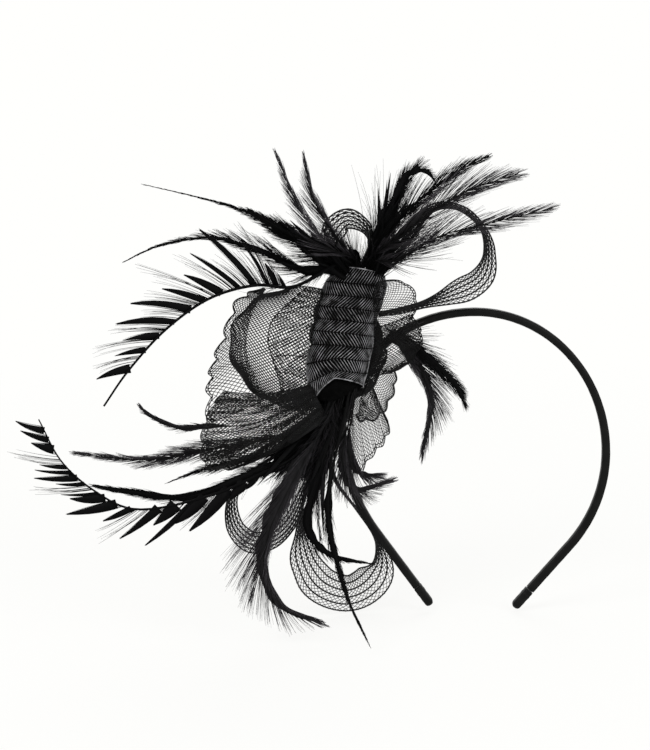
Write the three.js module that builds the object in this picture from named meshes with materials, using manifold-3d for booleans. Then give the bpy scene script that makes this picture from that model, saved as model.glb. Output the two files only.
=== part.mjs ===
// A headband fascinator: a slim satin-covered spring headband, with a flower of black crinoline,
// crinoline loops and cock feathers sewn to its left shoulder.
//
// Millimetres, +Z up, -Y towards whoever faces the wearer, +X to that viewer's right. Left and
// right in the names are the viewer's. The origin is the inner face of the headband at its crown,
// where it rests on the head.

import * as THREE from 'three';
import Module from 'manifold-3d';
import { mergeVertices } from 'three/addons/utils/BufferGeometryUtils.js';

const wasm = await Module();
wasm.setup();

// ---------------------------------------------------------------- driving sizes

const GAP = 0.3; // running gap between pieces that touch
const SLEEVE_WIDTH = 5.0; // the headband's width, front to back
const SLEEVE_THICK = 3.7; // its thickness, head to outside
const SLEEVE_WALL = 0.6;
const SECTION_ROUND = 0.9; // corner radius of the headband's section
const CAP_LENGTH = 12; // folded ribbon at each tip
const CAP_SKIN = 0.4; // how far the fold stands out past the sleeve
const CAP_ROUND = 2.4; // length of a cap's rounded end

// Each half of the headband runs from the crown down a quarter ellipse, a leg arc and a straight.
const LEFT_ARM = { side: -1, reach: 62.5, fall: 56.8, legRadius: 88, legTurn: 36, straight: 45 };
const RIGHT_ARM = { side: 1, reach: 63.7, fall: 69.8, legRadius: 70, legTurn: 40, straight: 41 };
const ARM_STEPS = 24;

// The knot is a rolled tube of crinoline. Its own frame has h along its axis.
const KNOT_TOP = new THREE.Vector3(-55, -8, 22);
const KNOT_FOOT = new THREE.Vector3(-63, -28, -27);
const KNOT_FLATNESS = 0.78; // its depth as a share of its width
const WRAP_WALL = 2.4;
const INNER_WALL = 2.0;
const INNER_DROP = 10; // how far the inner wrap shows below the outer one
const INNER_SETBACK = 5; // how far it stops short of the outer one's top
const INNER_FLARE = 1.6;
const BINDING_HALF = 9; // half the height of the lashed binding
// [share of the knot's length from its foot, half width]
const KNOT_PROFILE = [[0, 15.4], [0.12, 16.6], [0.38, 18], [0.65, 17.5], [0.88, 15], [1, 13]];

// The felt that carries the flower lies along the headband's left shoulder.
const FELT_CENTRE = new THREE.Vector2(-54, -22);
const FELT_LEAN = 58; // degrees of its long axis from level
const FELT_LENGTH = 32;
const FELT_WIDTH = 17;
const SADDLE_DEPTH = 17; // before the knot's hollow is cut into it
const BACKING_THICK = 1.6;
const FACE_ROOM = 3; // depth kept clear behind the backing, so that its face can be sewn down flat

const RIBBON_THICK = 1.4;
const PETAL_THICK = 1.8;
const BLADE_THICK = 0.9;
const QUILL = 1.5; // a feather's stem
const SLOT_SPREAD = 0.95; // stems close up as they leave the knot
const LAYER_GAP = 0.5; // between the layers inside the knot

// ---------------------------------------------------------------- materials

const cloth = (name, color, roughness) =>
  Object.assign(new THREE.MeshStandardMaterial({ color, roughness, metalness: 0 }), { name });
const SATIN = cloth('black_satin', 0x161715, 0.42);
const SPRING = cloth('spring_strip', 0x3a3b3d, 0.5);
const CRIN = cloth('crinoline', 0x1c1c1e, 0.55);
const BRAID = cloth('crinoline_braid', 0x222224, 0.5);
const FELT = cloth('felt', 0x0d0d0e, 0.95);
const THREAD = cloth('binding_thread', 0x101011, 0.8);
const FEATHER = cloth('feather', 0x0b0b0c, 0.5);
const SMOKE = cloth('smoke_feather', 0x4a464c, 0.6);

// ---------------------------------------------------------------- solids and booleans

function bare(geometry) {
  const plain = geometry.clone();
  plain.deleteAttribute('normal');
  plain.deleteAttribute('uv');
  return mergeVertices(plain, 1e-4);
}

function solidOf(geometry) {
  const merged = bare(geometry);
  const vertProperties = new Float32Array(merged.attributes.position.array);
  const triVerts = new Uint32Array(merged.index.array);
  return new wasm.Manifold(new wasm.Mesh({ numProp: 3, vertProperties, triVerts }));
}

function geometryOf(solid) {
  const mesh = solid.getMesh();
  const geometry = new THREE.BufferGeometry();
  geometry.setAttribute('position', new THREE.BufferAttribute(new Float32Array(mesh.vertProperties), 3));
  geometry.setIndex(new THREE.BufferAttribute(new Uint32Array(mesh.triVerts), 1));
  geometry.computeVertexNormals();
  return geometry;
}

/** Cuts the blockers out of a piece and keeps the largest body that is left. */
function carve(geometry, blockers) {
  const cut = blockers.reduce((rest, blocker) => rest.subtract(solidOf(blocker)), solidOf(geometry));
  const bodies = cut.decompose();
  bodies.sort((a, b) => b.volume() - a.volume());
  return geometryOf(bodies[0]);
}

function join(first, ...others) {
  return geometryOf(others.reduce((sum, other) => sum.add(solidOf(other)), solidOf(first)));
}

/** A box whose three coordinates, each from 0 to 1, are sent to a place by the given function. */
function mapBox(segments, place) {
  const box = new THREE.BoxGeometry(1, 1, 1, ...segments);
  const position = box.attributes.position;
  for (let i = 0; i < position.count; i += 1) {
    const p = place(position.getX(i) + 0.5, position.getY(i) + 0.5, position.getZ(i) + 0.5);
    position.setXYZ(i, p.x, p.y, p.z);
  }
  return bare(box);
}

const vec = ([x, y, z]) => new THREE.Vector3(x, y, z);
const spline = (points) => new THREE.CatmullRomCurve3(points, false, 'centripetal');
const smooth = (t) => t * t * (3 - 2 * t);

// ---------------------------------------------------------------- headband

/** A flat drawing stood upright: its x stays x, its y becomes z. */
class UprightCurve extends THREE.Curve {
  constructor(flat, from = 0, to = 1) {
    super();
    Object.assign(this, { flat, from, to });
  }

  getPoint(t, target = new THREE.Vector3()) {
    const p = this.flat.getPoint(THREE.MathUtils.lerp(this.from, this.to, t));
    return target.set(p.x, 0, p.y);
  }
}

function armPath({ side, reach, fall, legRadius, legTurn, straight }) {
  const crown = SLEEVE_THICK / 2;
  const turn = THREE.MathUtils.degToRad(legTurn);
  const start = side > 0 ? 0 : Math.PI;
  const legCentre = new THREE.Vector2(side * (reach - legRadius), crown - fall);
  const legEnd = new THREE.Vector2(side * Math.cos(turn), -Math.sin(turn))
    .multiplyScalar(legRadius)
    .add(legCentre);
  const along = new THREE.Vector2(-side * Math.sin(turn), -Math.cos(turn)).multiplyScalar(straight);
  const path = new THREE.CurvePath();
  path.add(new THREE.EllipseCurve(0, crown - fall, reach, fall, Math.PI / 2, start, side > 0));
  path.add(new THREE.EllipseCurve(legCentre.x, legCentre.y, legRadius, legRadius,
    start, start - side * turn, side > 0));
  path.add(new THREE.LineCurve(legEnd, legEnd.clone().add(along)));
  return path;
}

/** The headband's section: x lies front to back, y from the head outwards. */
function roundedSection(width, thick, radius) {
  const [x, y] = [width / 2, thick / 2];
  const shape = new THREE.Shape();
  shape.absarc(x - radius, y - radius, radius, 0, Math.PI / 2);
  shape.absarc(radius - x, y - radius, radius, Math.PI / 2, Math.PI);
  shape.absarc(radius - x, radius - y, radius, Math.PI, 1.5 * Math.PI);
  shape.absarc(x - radius, radius - y, radius, 1.5 * Math.PI, 2 * Math.PI);
  return shape;
}

const extrudeAlong = (shape, extrudePath, steps) =>
  bare(new THREE.ExtrudeGeometry(shape, { extrudePath, steps, curveSegments: 1, bevelEnabled: false }));

const HOLLOW = { width: SLEEVE_WIDTH - 2 * SLEEVE_WALL, thick: SLEEVE_THICK - 2 * SLEEVE_WALL };
const CORE = { width: HOLLOW.width - 2 * GAP, thick: HOLLOW.thick - 2 * GAP };
const coreSection = (grow) =>
  roundedSection(CORE.width + 2 * grow, CORE.thick + 2 * grow, SECTION_ROUND / 2);

function makeArm(arm) {
  const flat = armPath(arm);
  const length = flat.getLength();
  const share = (distance) => distance / length;
  const crownCut = share(GAP / 2);
  const sleeveEnd = share(length - CAP_LENGTH);
  const coreEnd = share(length - CAP_ROUND);

  const sleeveShape = roundedSection(SLEEVE_WIDTH, SLEEVE_THICK, SECTION_ROUND);
  sleeveShape.holes.push(roundedSection(HOLLOW.width, HOLLOW.thick, SECTION_ROUND / 2));
  const sleeve = extrudeAlong(sleeveShape, new UprightCurve(flat, crownCut, sleeveEnd), ARM_STEPS);
  const core = extrudeAlong(coreSection(0), new UprightCurve(flat, crownCut, coreEnd), ARM_STEPS + 4);

  const capStart = sleeveEnd + share(GAP);
  const capWidth = SLEEVE_WIDTH + 2 * CAP_SKIN;
  const capThick = SLEEVE_THICK + 2 * CAP_SKIN;
  const capShape = roundedSection(capWidth, capThick, SECTION_ROUND);
  const barrel = extrudeAlong(capShape, new UprightCurve(flat, capStart, coreEnd), 3);
  const end = flat.getPoint(coreEnd);
  const tangent = flat.getPoint(1).sub(end).normalize();
  const dome = new THREE.SphereGeometry(1, 12, 6);
  dome.scale(capThick / 2, capWidth / 2, CAP_ROUND);
  dome.rotateY(Math.atan2(tangent.x, tangent.y));
  dome.translate(end.x, 0, end.y);
  const bore = new UprightCurve(flat, capStart - share(GAP), coreEnd + share(GAP));
  const cap = carve(join(barrel, dome), [extrudeAlong(coreSection(GAP), bore, 4)]);
  return { sleeve, core, cap };
}

// ---------------------------------------------------------------- knot

const KNOT_AXIS = new THREE.Vector3().subVectors(KNOT_TOP, KNOT_FOOT);
const KNOT_LENGTH = KNOT_AXIS.length();
const KNOT_FRAME = (() => {
  const up = KNOT_AXIS.clone().normalize();
  const back = new THREE.Vector3(0, 1, 0).addScaledVector(up, -up.y).normalize();
  const across = new THREE.Vector3().crossVectors(back, up);
  const middle = new THREE.Vector3().addVectors(KNOT_TOP, KNOT_FOOT).multiplyScalar(0.5);
  return new THREE.Matrix4().makeBasis(across, back, up).setPosition(middle);
})();

/** A place in the knot's frame, in the part's frame. */
const inKnot = (x, y, h) => new THREE.Vector3(x, y, h).applyMatrix4(KNOT_FRAME);

function knotRadius(h) {
  const share = THREE.MathUtils.clamp(h / KNOT_LENGTH + 0.5, 0, 1);
  const next = Math.max(1, KNOT_PROFILE.findIndex(([at]) => at >= share));
  const [[a, ra], [b, rb]] = [KNOT_PROFILE[next - 1], KNOT_PROFILE[next]];
  return THREE.MathUtils.lerp(ra, rb, smooth((share - a) / (b - a)));
}

/** Turns a closed outline of [radius, h] into a flattened ring about the knot's axis. */
function knotRing(outline, sides = 24) {
  const closed = [...outline, outline[0]].map(([r, h]) => new THREE.Vector2(r, h));
  const lathe = new THREE.LatheGeometry(closed, sides);
  lathe.rotateX(Math.PI / 2);
  lathe.scale(1, KNOT_FLATNESS, 1);
  lathe.applyMatrix4(KNOT_FRAME);
  return bare(lathe);
}

const heights = (from, to, count) =>
  Array.from({ length: count + 1 }, (_, i) => THREE.MathUtils.lerp(from, to, i / count));
const HALF = KNOT_LENGTH / 2;
const INNER_LOW = -HALF - INNER_DROP;
const INNER_HIGH = HALF - INNER_SETBACK;
const STATIONS = heights(-HALF, HALF, 6);
const INNER_STATIONS = [INNER_LOW, ...STATIONS.filter((h) => h < INNER_HIGH), INNER_HIGH];
const innerSkin = (h) => {
  const below = THREE.MathUtils.clamp((-HALF - h) / INNER_DROP, 0, 1);
  return knotRadius(h) - WRAP_WALL - LAYER_GAP / KNOT_FLATNESS + INNER_FLARE * below;
};
/** A tube wall: up its outside by one function of height, and down its inside by another. */
const wallOutline = (stations, outside, inside) => [
  ...stations.map((h) => [outside(h), h]),
  ...stations.toReversed().map((h) => [inside(h), h]),
];

const knotOuter = () => knotRing(wallOutline(STATIONS, knotRadius, (h) => knotRadius(h) - WRAP_WALL));
const knotInner = () =>
  knotRing(wallOutline(INNER_STATIONS, innerSkin, (h) => innerSkin(h) - INNER_WALL));

/** The whole knot as one plug, grown by a gap, to cut what lies against it. */
function knotPlug(grow) {
  const extra = grow / KNOT_FLATNESS;
  const outer = heights(-HALF - grow, HALF + grow, 8).map((h) => [knotRadius(h) + extra, h]);
  const lower = heights(INNER_LOW - grow, -HALF - 2 * grow, 2).map((h) => [innerSkin(h) + extra, h]);
  return knotRing([[0, INNER_LOW - grow], ...lower, ...outer, [0, HALF + grow]]);
}

function binding() {
  const skin = (h) => innerSkin(h) - INNER_WALL - LAYER_GAP / KNOT_FLATNESS;
  const side = heights(-BINDING_HALF, BINDING_HALF, 4).map((h) => [skin(h), h]);
  return knotRing([[0, -BINDING_HALF], ...side, [0, BINDING_HALF]]);
}

// ---------------------------------------------------------------- felt

/** The felt's oval as a slab between two depths, front y first, grown all round by a gap. */
function feltSlab(front, back, grow = 0) {
  const outline = new THREE.Shape();
  outline.absellipse(0, 0, FELT_LENGTH / 2 + grow, FELT_WIDTH / 2 + grow, 0, 2 * Math.PI);
  const depth = back - front + 2 * grow;
  const slab = new THREE.ExtrudeGeometry(outline, { depth, bevelEnabled: false, curveSegments: 14 });
  slab.rotateZ(THREE.MathUtils.degToRad(FELT_LEAN));
  slab.rotateX(Math.PI / 2);
  slab.translate(FELT_CENTRE.x, back + grow, FELT_CENTRE.y);
  return bare(slab);
}

const BAND_FACE = SLEEVE_WIDTH / 2 + GAP;
const SADDLE_SPAN = [-BAND_FACE - SADDLE_DEPTH, -BAND_FACE];
const BACKING_SPAN = [BAND_FACE, BAND_FACE + BACKING_THICK];

// ---------------------------------------------------------------- ribbons, petals, feathers

/**
 * A flat ribbon along a spline. Each stop is [x, y, z, tilt], where the tilt in degrees turns the
 * ribbon's width from the depth direction towards the outside of the loop. gather is the share of
 * its length, at each end, that stays drawn in to the root's width.
 */
function ribbon({ stops, width, rootWidth, turnsLeft, gather }) {
  const path = spline(stops.map((stop) => stop.point));
  const span = stops.length - 1;
  const depth = new THREE.Vector3(0, 1, 0);
  return mapBox([1, 1, 30], (across, through, along) => {
    const centre = path.getPoint(along);
    const tangent = path.getTangent(along);
    const outward = new THREE.Vector3().crossVectors(depth, tangent).normalize();
    if (turnsLeft) outward.negate();
    const at = Math.min(span - 1, Math.floor(along * span));
    const tilt = THREE.MathUtils.lerp(stops[at].tilt, stops[at + 1].tilt, smooth(along * span - at));
    const angle = THREE.MathUtils.degToRad(tilt);
    const wide = depth.clone().addScaledVector(tangent, -depth.dot(tangent)).normalize()
      .multiplyScalar(Math.cos(angle)).addScaledVector(outward, Math.sin(angle)).normalize();
    const face = new THREE.Vector3().crossVectors(tangent, wide).normalize();
    const fromEnd = Math.min(along, 1 - along);
    const open = smooth(THREE.MathUtils.clamp((fromEnd - gather) / gather, 0, 1));
    const half = THREE.MathUtils.lerp(rootWidth, width, open) * (across - 0.5);
    return centre.addScaledVector(wide, half).addScaledVector(face, RIBBON_THICK * (through - 0.5));
  });
}

/** A shell of even thickness over a surface of u and v, each from 0 to 1. */
function shell(surface, [nu, nv], thickness) {
  const step = 0.01;
  return mapBox([nu, nv, 1], (u, v, w) => {
    const [u0, u1] = [Math.max(0, u - step), Math.min(1, u + step)];
    const [v0, v1] = [Math.max(0, v - step), Math.min(1, v + step)];
    const du = surface(u1, v).sub(surface(u0, v));
    const dv = surface(u, v1).sub(surface(u, v0));
    const normal = du.cross(dv).normalize();
    return surface(u, v).addScaledVector(normal, thickness * (w - 0.5));
  });
}

/** A petal ruled from its gathered root to its rim, and puffed by a bulge between them. */
function petal({ root, rim, bulge }, thickness = PETAL_THICK) {
  const [inner, outer] = [spline(root.map(vec)), spline(rim.map(vec))];
  const puff = vec(bulge);
  const surface = (u, v) => inner.getPoint(u).lerp(outer.getPoint(u), v)
    .addScaledVector(puff, Math.sin(Math.PI * v) * Math.sqrt(Math.sin(Math.PI * (0.08 + 0.84 * u))));
  return shell(surface, [12, 5], thickness);
}

/**
 * A feather as a thin blade: a square quill that opens into a vane and closes to a point.
 * vane is the greatest width, lean puts the vane to one side of the shaft (-1 to 1).
 */
function feather({ points, vane, lean = 0, from = 0.3 }) {
  const path = spline(points);
  const depth = new THREE.Vector3(0, 1, 0);
  return mapBox([1, 1, 16], (across, through, along) => {
    const centre = path.getPoint(along);
    const tangent = path.getTangent(along);
    const wide = new THREE.Vector3().crossVectors(tangent, depth).normalize();
    const face = new THREE.Vector3().crossVectors(tangent, wide).normalize();
    const grown = THREE.MathUtils.clamp((along - from) / (1 - from), 0, 1);
    const spread = vane * Math.sqrt(Math.sin(Math.PI * Math.min(1, 0.06 + 0.9 * grown)));
    const opening = smooth(THREE.MathUtils.clamp((along - from) / 0.12, 0, 1));
    const width = THREE.MathUtils.lerp(QUILL, Math.max(QUILL, spread), opening);
    const thick = THREE.MathUtils.lerp(QUILL, BLADE_THICK, opening);
    const aside = opening * lean * (width - QUILL) / 2;
    return centre.addScaledVector(wide, width * (across - 0.5) + aside)
      .addScaledVector(face, thick * (through - 0.5));
  });
}

// ---------------------------------------------------------------- where the soft pieces lie

const TOP_SLOT = BINDING_HALF + GAP;
const TOP_EXIT = HALF + 3;
const LOW_SLOT = -TOP_SLOT;
const LOW_EXIT = INNER_LOW - 2;

/** From a slot on the binding's top or bottom face, out of the knot, and on through the points. */
function fromTop([x, y], ...points) {
  const out = inKnot(x * SLOT_SPREAD, y * SLOT_SPREAD, TOP_EXIT);
  return [inKnot(x, y, TOP_SLOT), out, ...points.map(vec)];
}

function fromFoot([x, y], ...points) {
  const out = inKnot(x * SLOT_SPREAD, y * SLOT_SPREAD, LOW_EXIT);
  return [inKnot(x, y, LOW_SLOT), out, ...points.map(vec)];
}

const FEATHERS = {
  coque_upper_left: { vane: 9, lean: -0.9, colour: FEATHER,
    points: fromTop([-5.4, -6], [-86, -43, 21], [-102, -50, 23], [-122, -54, 18], [-142, -55, 4],
      [-160, -54, -16], [-171, -52, -32]) },
  hackle_curved_left: { vane: 10, lean: -0.4, colour: FEATHER,
    points: fromTop([-6.8, -3.6], [-79, -31, 26], [-101, -39, 37], [-122, -41, 43], [-146, -39, 39],
      [-163, -36, 31]) },
  hackle_dark_left: { vane: 13, colour: FEATHER, from: 0.4,
    points: fromTop([-3.4, -3.2], [-74, -24, 35], [-89, -28, 44], [-106, -33, 55]) },
  hackle_upper_left: { vane: 9, lean: 0.3, colour: FEATHER,
    points: fromTop([-4.3, -0.7], [-72, -18, 36], [-92, -20, 45], [-110, -18, 53], [-128, -16, 58],
      [-156, -12, 64]) },
  hackle_tall_left: { vane: 7, colour: SMOKE, from: 0.35,
    points: fromTop([-2.4, -6], [-70, -31, 38], [-84, -26, 57], [-94, -18, 80]) },
  hackle_tall_right: { vane: 6, colour: SMOKE, from: 0.35,
    points: fromTop([-1.4, -3], [-66, -24, 41], [-76, -18, 57], [-81, -11, 78]) },
  hackle_plume: { vane: 13, lean: 0.6, colour: SMOKE,
    points: fromTop([2, -3], [-47, -17, 39], [-39, -12, 57], [-33, -7, 68], [-25, -2, 69], [-20, -2, 65]) },
  hackle_right_high: { vane: 9, colour: FEATHER, from: 0.35,
    points: fromTop([5, -3], [-42, -14, 41], [-34, -14, 51], [-23, -11, 60], [-9, -4, 69], [6, 6, 75]) },
  hackle_right_middle: { vane: 10, colour: SMOKE,
    points: fromTop([2.2, -6], [-36, -28, 42], [-17, -22, 56], [-2, -18, 63], [18, -14, 69]) },
  hackle_right_low: { vane: 12, colour: SMOKE,
    points: fromTop([5, -6], [-38, -33, 32], [-18, -33, 43], [4, -35, 49], [32, -36, 56]) },
  coque_lower_left: { vane: 11, lean: 0.9, colour: FEATHER,
    points: fromFoot([-5.2, -5.4], [-84, -43, -57], [-101, -48, -65], [-123, -55, -73], [-158, -60, -78],
      [-176, -60, -69], [-190, -59, -56], [-200, -57, -37]) },
  hackle_lower_left: { vane: 8, colour: FEATHER,
    points: fromFoot([-6.6, -3], [-84, -37, -60], [-101, -37, -66], [-134, -43, -77], [-160, -42, -75],
      [-179, -38, -73]) },
  smoke_lower_left: { vane: 12, colour: SMOKE, from: 0.4,
    points: fromFoot([-7, 0], [-84, -20, -50], [-107, -8, -60], [-130, -3, -65], [-155, -1, -70],
      [-193, 4, -68]) },
  spike_left: { vane: 7, colour: FEATHER, from: 0.45,
    points: fromFoot([-4.4, 0], [-90, -22, -59], [-116, -19, -67], [-130, -18, -71], [-147, -16, -78]) },
  smoke_lower_wide: { vane: 15, lean: -0.5, colour: SMOKE,
    points: fromFoot([-3.2, -6], [-80, -46, -58], [-90, -51, -76], [-97, -54, -92], [-99, -54, -107],
      [-91, -52, -126], [-71, -49, -136]) },
  quill_long_lower: { vane: 6, colour: FEATHER,
    points: fromFoot([3.4, -6], [-69, -52, -70], [-69, -56, -88], [-65, -60, -105], [-60, -63, -121],
      [-50, -67, -142]) },
  hackle_hooked: { vane: 6, colour: FEATHER,
    points: fromFoot([0, -6], [-73, -47, -62], [-79, -50, -88], [-74, -51, -98], [-66, -52, -103],
      [-48, -54, -106]) },
  wisp_lower_left: { vane: 11, colour: SMOKE,
    points: fromFoot([-4.2, -3], [-82, -41, -62], [-90, -43, -81], [-100, -43, -102], [-106, -42, -128]) },
  wisp_lower_middle: { vane: 9, colour: SMOKE, from: 0.4,
    points: fromFoot([-1, -3], [-73, -40, -62], [-75, -43, -77], [-73, -44, -98]) },
  spike_right_low: { vane: 7, colour: FEATHER, from: 0.4,
    points: fromFoot([6, -3], [-63, -34, -62], [-57, -28, -77], [-39, -28, -73]) },
  spike_right_high: { vane: 6, colour: FEATHER, from: 0.4,
    points: fromFoot([7, 0], [-60, -24, -60], [-55, -17, -72], [-46, -16, -74]) },
};

/** Feathers laid on the felt instead of through the knot. */
const FELT_FEATHERS = {
  smoke_right_droop: { vane: 14, lean: 0.7, colour: SMOKE, from: 0.15,
    points: [[-46, -6, -13], [-40, -7, -9], [-34, -8, -14], [-24, -7, -29], [-21, -6, -41],
      [-25, -2, -69]].map(vec) },
  hackle_right_droop: { vane: 6, lean: -0.5, colour: FEATHER, from: 0.1,
    points: [[-42, -12, -4], [-34, -13, -8], [-20, -15, -19], [-10, -16, -29], [-6, -17, -36]].map(vec) },
  smoke_left_rear: { vane: 8, colour: SMOKE, from: 0.3,
    points: [[-61, 3.7, -27], [-70, 5, -35], [-84, 8, -45], [-107, 9, -55], [-127, 10, -56],
      [-141, 11, -57], [-156, 12, -51], [-161, 12, -46]].map(vec) },
};

const stop = (tilt, point) => ({ tilt, point });
const LOOPS = {
  crin_loop_top: { width: 15, rootWidth: 3.6, gather: 0.2, turnsLeft: false, stops: [
    stop(0, inKnot(-2.8, 4.2, TOP_SLOT)), stop(10, inKnot(-2.2, 4.6, TOP_EXIT)),
    stop(50, vec([-69, -11, 33])), stop(55, vec([-67, -10, 42])), stop(50, vec([-61, -9, 47])),
    stop(35, vec([-54, -8, 44])), stop(15, vec([-50, -6, 36])),
    stop(5, inKnot(0.2, 3.4, TOP_EXIT)), stop(0, inKnot(0.4, 4.2, TOP_SLOT))] },
  crin_loop_right: { width: 16, rootWidth: 4, gather: 0.13, turnsLeft: true, sewnTo: 'knot', stops: [
    stop(20, vec([-46, -8, 2])), stop(35, vec([-34, -7, 4])), stop(45, vec([-13, -8, 11])),
    stop(35, vec([2, -7, 19])), stop(15, vec([6, -4, 31])), stop(10, vec([3, -2, 42])),
    stop(15, vec([-7, 0, 51])), stop(20, vec([-19, 0, 52])), stop(20, vec([-31, 0, 44])),
    stop(10, inKnot(4.2, 3.6, TOP_EXIT)), stop(0, inKnot(4.8, 4.2, TOP_SLOT))] },
  crin_loop_lower_left: { width: 14, rootWidth: 5, gather: 0.13, turnsLeft: false, stops: [
    stop(0, inKnot(0.6, 5, LOW_SLOT)), stop(5, inKnot(0.6, 4.4, LOW_EXIT)),
    stop(15, vec([-79, -33, -72])), stop(20, vec([-87, -31, -92])), stop(25, vec([-96, -26, -102])),
    stop(30, vec([-106, -20, -105])), stop(25, vec([-114, -13, -99])), stop(20, vec([-115, -9, -87])),
    stop(15, vec([-106, -7, -75])), stop(10, vec([-88, -11, -61])),
    stop(5, inKnot(-4, 5, LOW_EXIT)), stop(0, inKnot(-3.6, 5, LOW_SLOT))] },
  crin_loop_bottom: { width: 18, rootWidth: 5, gather: 0.13, turnsLeft: true, sewnTo: 'felt', stops: [
    stop(0, inKnot(5, 5, LOW_SLOT)), stop(5, inKnot(4.6, 4.6, LOW_EXIT)),
    stop(10, vec([-76, -16, -80])), stop(15, vec([-83, -13, -100])), stop(45, vec([-81, -12, -117])),
    stop(75, vec([-73, -9, -130])), stop(82, vec([-60, -4, -136])), stop(70, vec([-49, 4, -133])),
    stop(25, vec([-43, 12, -124])), stop(10, vec([-46, 15, -113])), stop(10, vec([-55, 15, -99])),
    stop(5, vec([-66, 12, -83])), stop(0, vec([-70, 4, -66])), stop(0, vec([-69, -6, -50])),
    stop(0, vec([-63, -9, -34]))] },
};

const PETALS = {
  petal_lower_left: { bulge: [0, -7, -3],
    root: [[-80, -30, -30], [-78, -33, -36], [-75, -34, -42]],
    rim: [[-119, -18, -33], [-125, -19, -42], [-129, -20, -56], [-127, -22, -68], [-112, -27, -67],
      [-86, -33, -50]] },
  petal_right_top: { bulge: [0, -4, 1],
    root: [[-47, -20, -6], [-45, -19, -2]],
    rim: [[-45, -24, 8], [-41, -27, 19], [-36, -27, 20], [-30, -25, 14], [-32, -23, 6], [-38, -21, -1]] },
  petal_right_middle: { bulge: [2, -3, 0],
    root: [[-46, -17, -6], [-47, -19, -15], [-48, -22, -24]],
    rim: [[-32, -19, 0], [-28, -18, -5], [-31, -18, -13], [-37, -18, -21]] },
  petal_right_lower: { bulge: [2, -4, -1],
    root: [[-47, -24, -25], [-50, -26, -31], [-54, -28, -35]],
    rim: [[-38, -15, -23], [-38, -14, -31], [-41, -14, -39], [-45, -15, -45], [-52, -18, -47],
      [-57, -22, -44]] },
  petal_right_bottom: { bulge: [0, 3, 0],
    root: [[-51, 4, -28], [-60, 4, -34]],
    rim: [[-44, 6, -46], [-40, 7, -56], [-43, 8, -64], [-49, 8, -71], [-55, 7, -79], [-60, 6, -72]] },
  ruffle_rear_left: { bulge: [0, 3, 0],
    root: [[-79, -5, 8], [-80, -6, -12], [-80, -8, -32]],
    rim: [[-101, 2, 13], [-112, 3, 7], [-119, 4, -10], [-125, 5, -25], [-127, 5, -37], [-127, 4, -54]] },
};

// The puffed petal: a pouch of crinoline gathered under the knot.
const PUFF = { centre: [-79, -17, -13], half: [37, 13, 29], lean: 14 };

function puffSolid(grow) {
  const ball = new THREE.SphereGeometry(1, 18, 12);
  ball.scale(...PUFF.half.map((size) => size + grow));
  ball.rotateY(THREE.MathUtils.degToRad(PUFF.lean));
  ball.translate(...PUFF.centre);
  return bare(ball);
}

// ---------------------------------------------------------------- assembly

const fascinator = new THREE.Group();
fascinator.name = 'fascinator_headpiece';

function add(name, geometry, material) {
  const mesh = new THREE.Mesh(geometry, material);
  mesh.name = name;
  fascinator.add(mesh);
}

const leftArm = makeArm(LEFT_ARM);
const rightArm = makeArm(RIGHT_ARM);
add('band_core_left', leftArm.core, SPRING);
add('band_core_right', rightArm.core, SPRING);
add('satin_sleeve_left', leftArm.sleeve, SATIN);
add('satin_sleeve_right', rightArm.sleeve, SATIN);
add('tip_cap_left', leftArm.cap, SATIN);
add('tip_cap_right', rightArm.cap, SATIN);

const plug = knotPlug(GAP);
const feltRoom = [
  feltSlab(...SADDLE_SPAN, GAP),
  feltSlab(BACKING_SPAN[0], BACKING_SPAN[1] + FACE_ROOM, GAP),
];
add('felt_saddle', carve(feltSlab(...SADDLE_SPAN), [plug]), FELT);
add('felt_backing', feltSlab(...BACKING_SPAN), FELT);
add('stem_binding', binding(), THREAD);
add('knot_inner_wrap', knotInner(), CRIN);
add('knot_outer_wrap', knotOuter(), CRIN);

const nearKnot = [plug, ...feltRoom];
add('petal_left_puff', carve(puffSolid(0), nearKnot), CRIN);
const puffRoom = puffSolid(GAP);
for (const [name, shape] of Object.entries(PETALS)) {
  add(name, carve(petal(shape), [...nearKnot, puffRoom]), CRIN);
}
const seats = { knot: [plug], felt: [...feltRoom, puffRoom] };
for (const [name, loop] of Object.entries(LOOPS)) {
  add(name, carve(ribbon(loop), seats[loop.sewnTo] ?? []), BRAID);
}
for (const [name, shape] of Object.entries(FEATHERS)) {
  add(name, feather(shape), shape.colour);
}
for (const [name, shape] of Object.entries(FELT_FEATHERS)) {
  add(name, carve(feather(shape), feltRoom), shape.colour);
}

export default fascinator;
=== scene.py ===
"""A headband fascinator: crinoline flower, ribbon loops and cock feathers on a satin headband.

Lengths are in millimetres until a mesh is made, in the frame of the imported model: +Z up, -Y
towards whoever faces the wearer, +X to that viewer's right, origin under the headband's crown.
"""

import logging
import math
from collections.abc import Callable, Sequence
from dataclasses import dataclass, field
from enum import Enum

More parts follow.
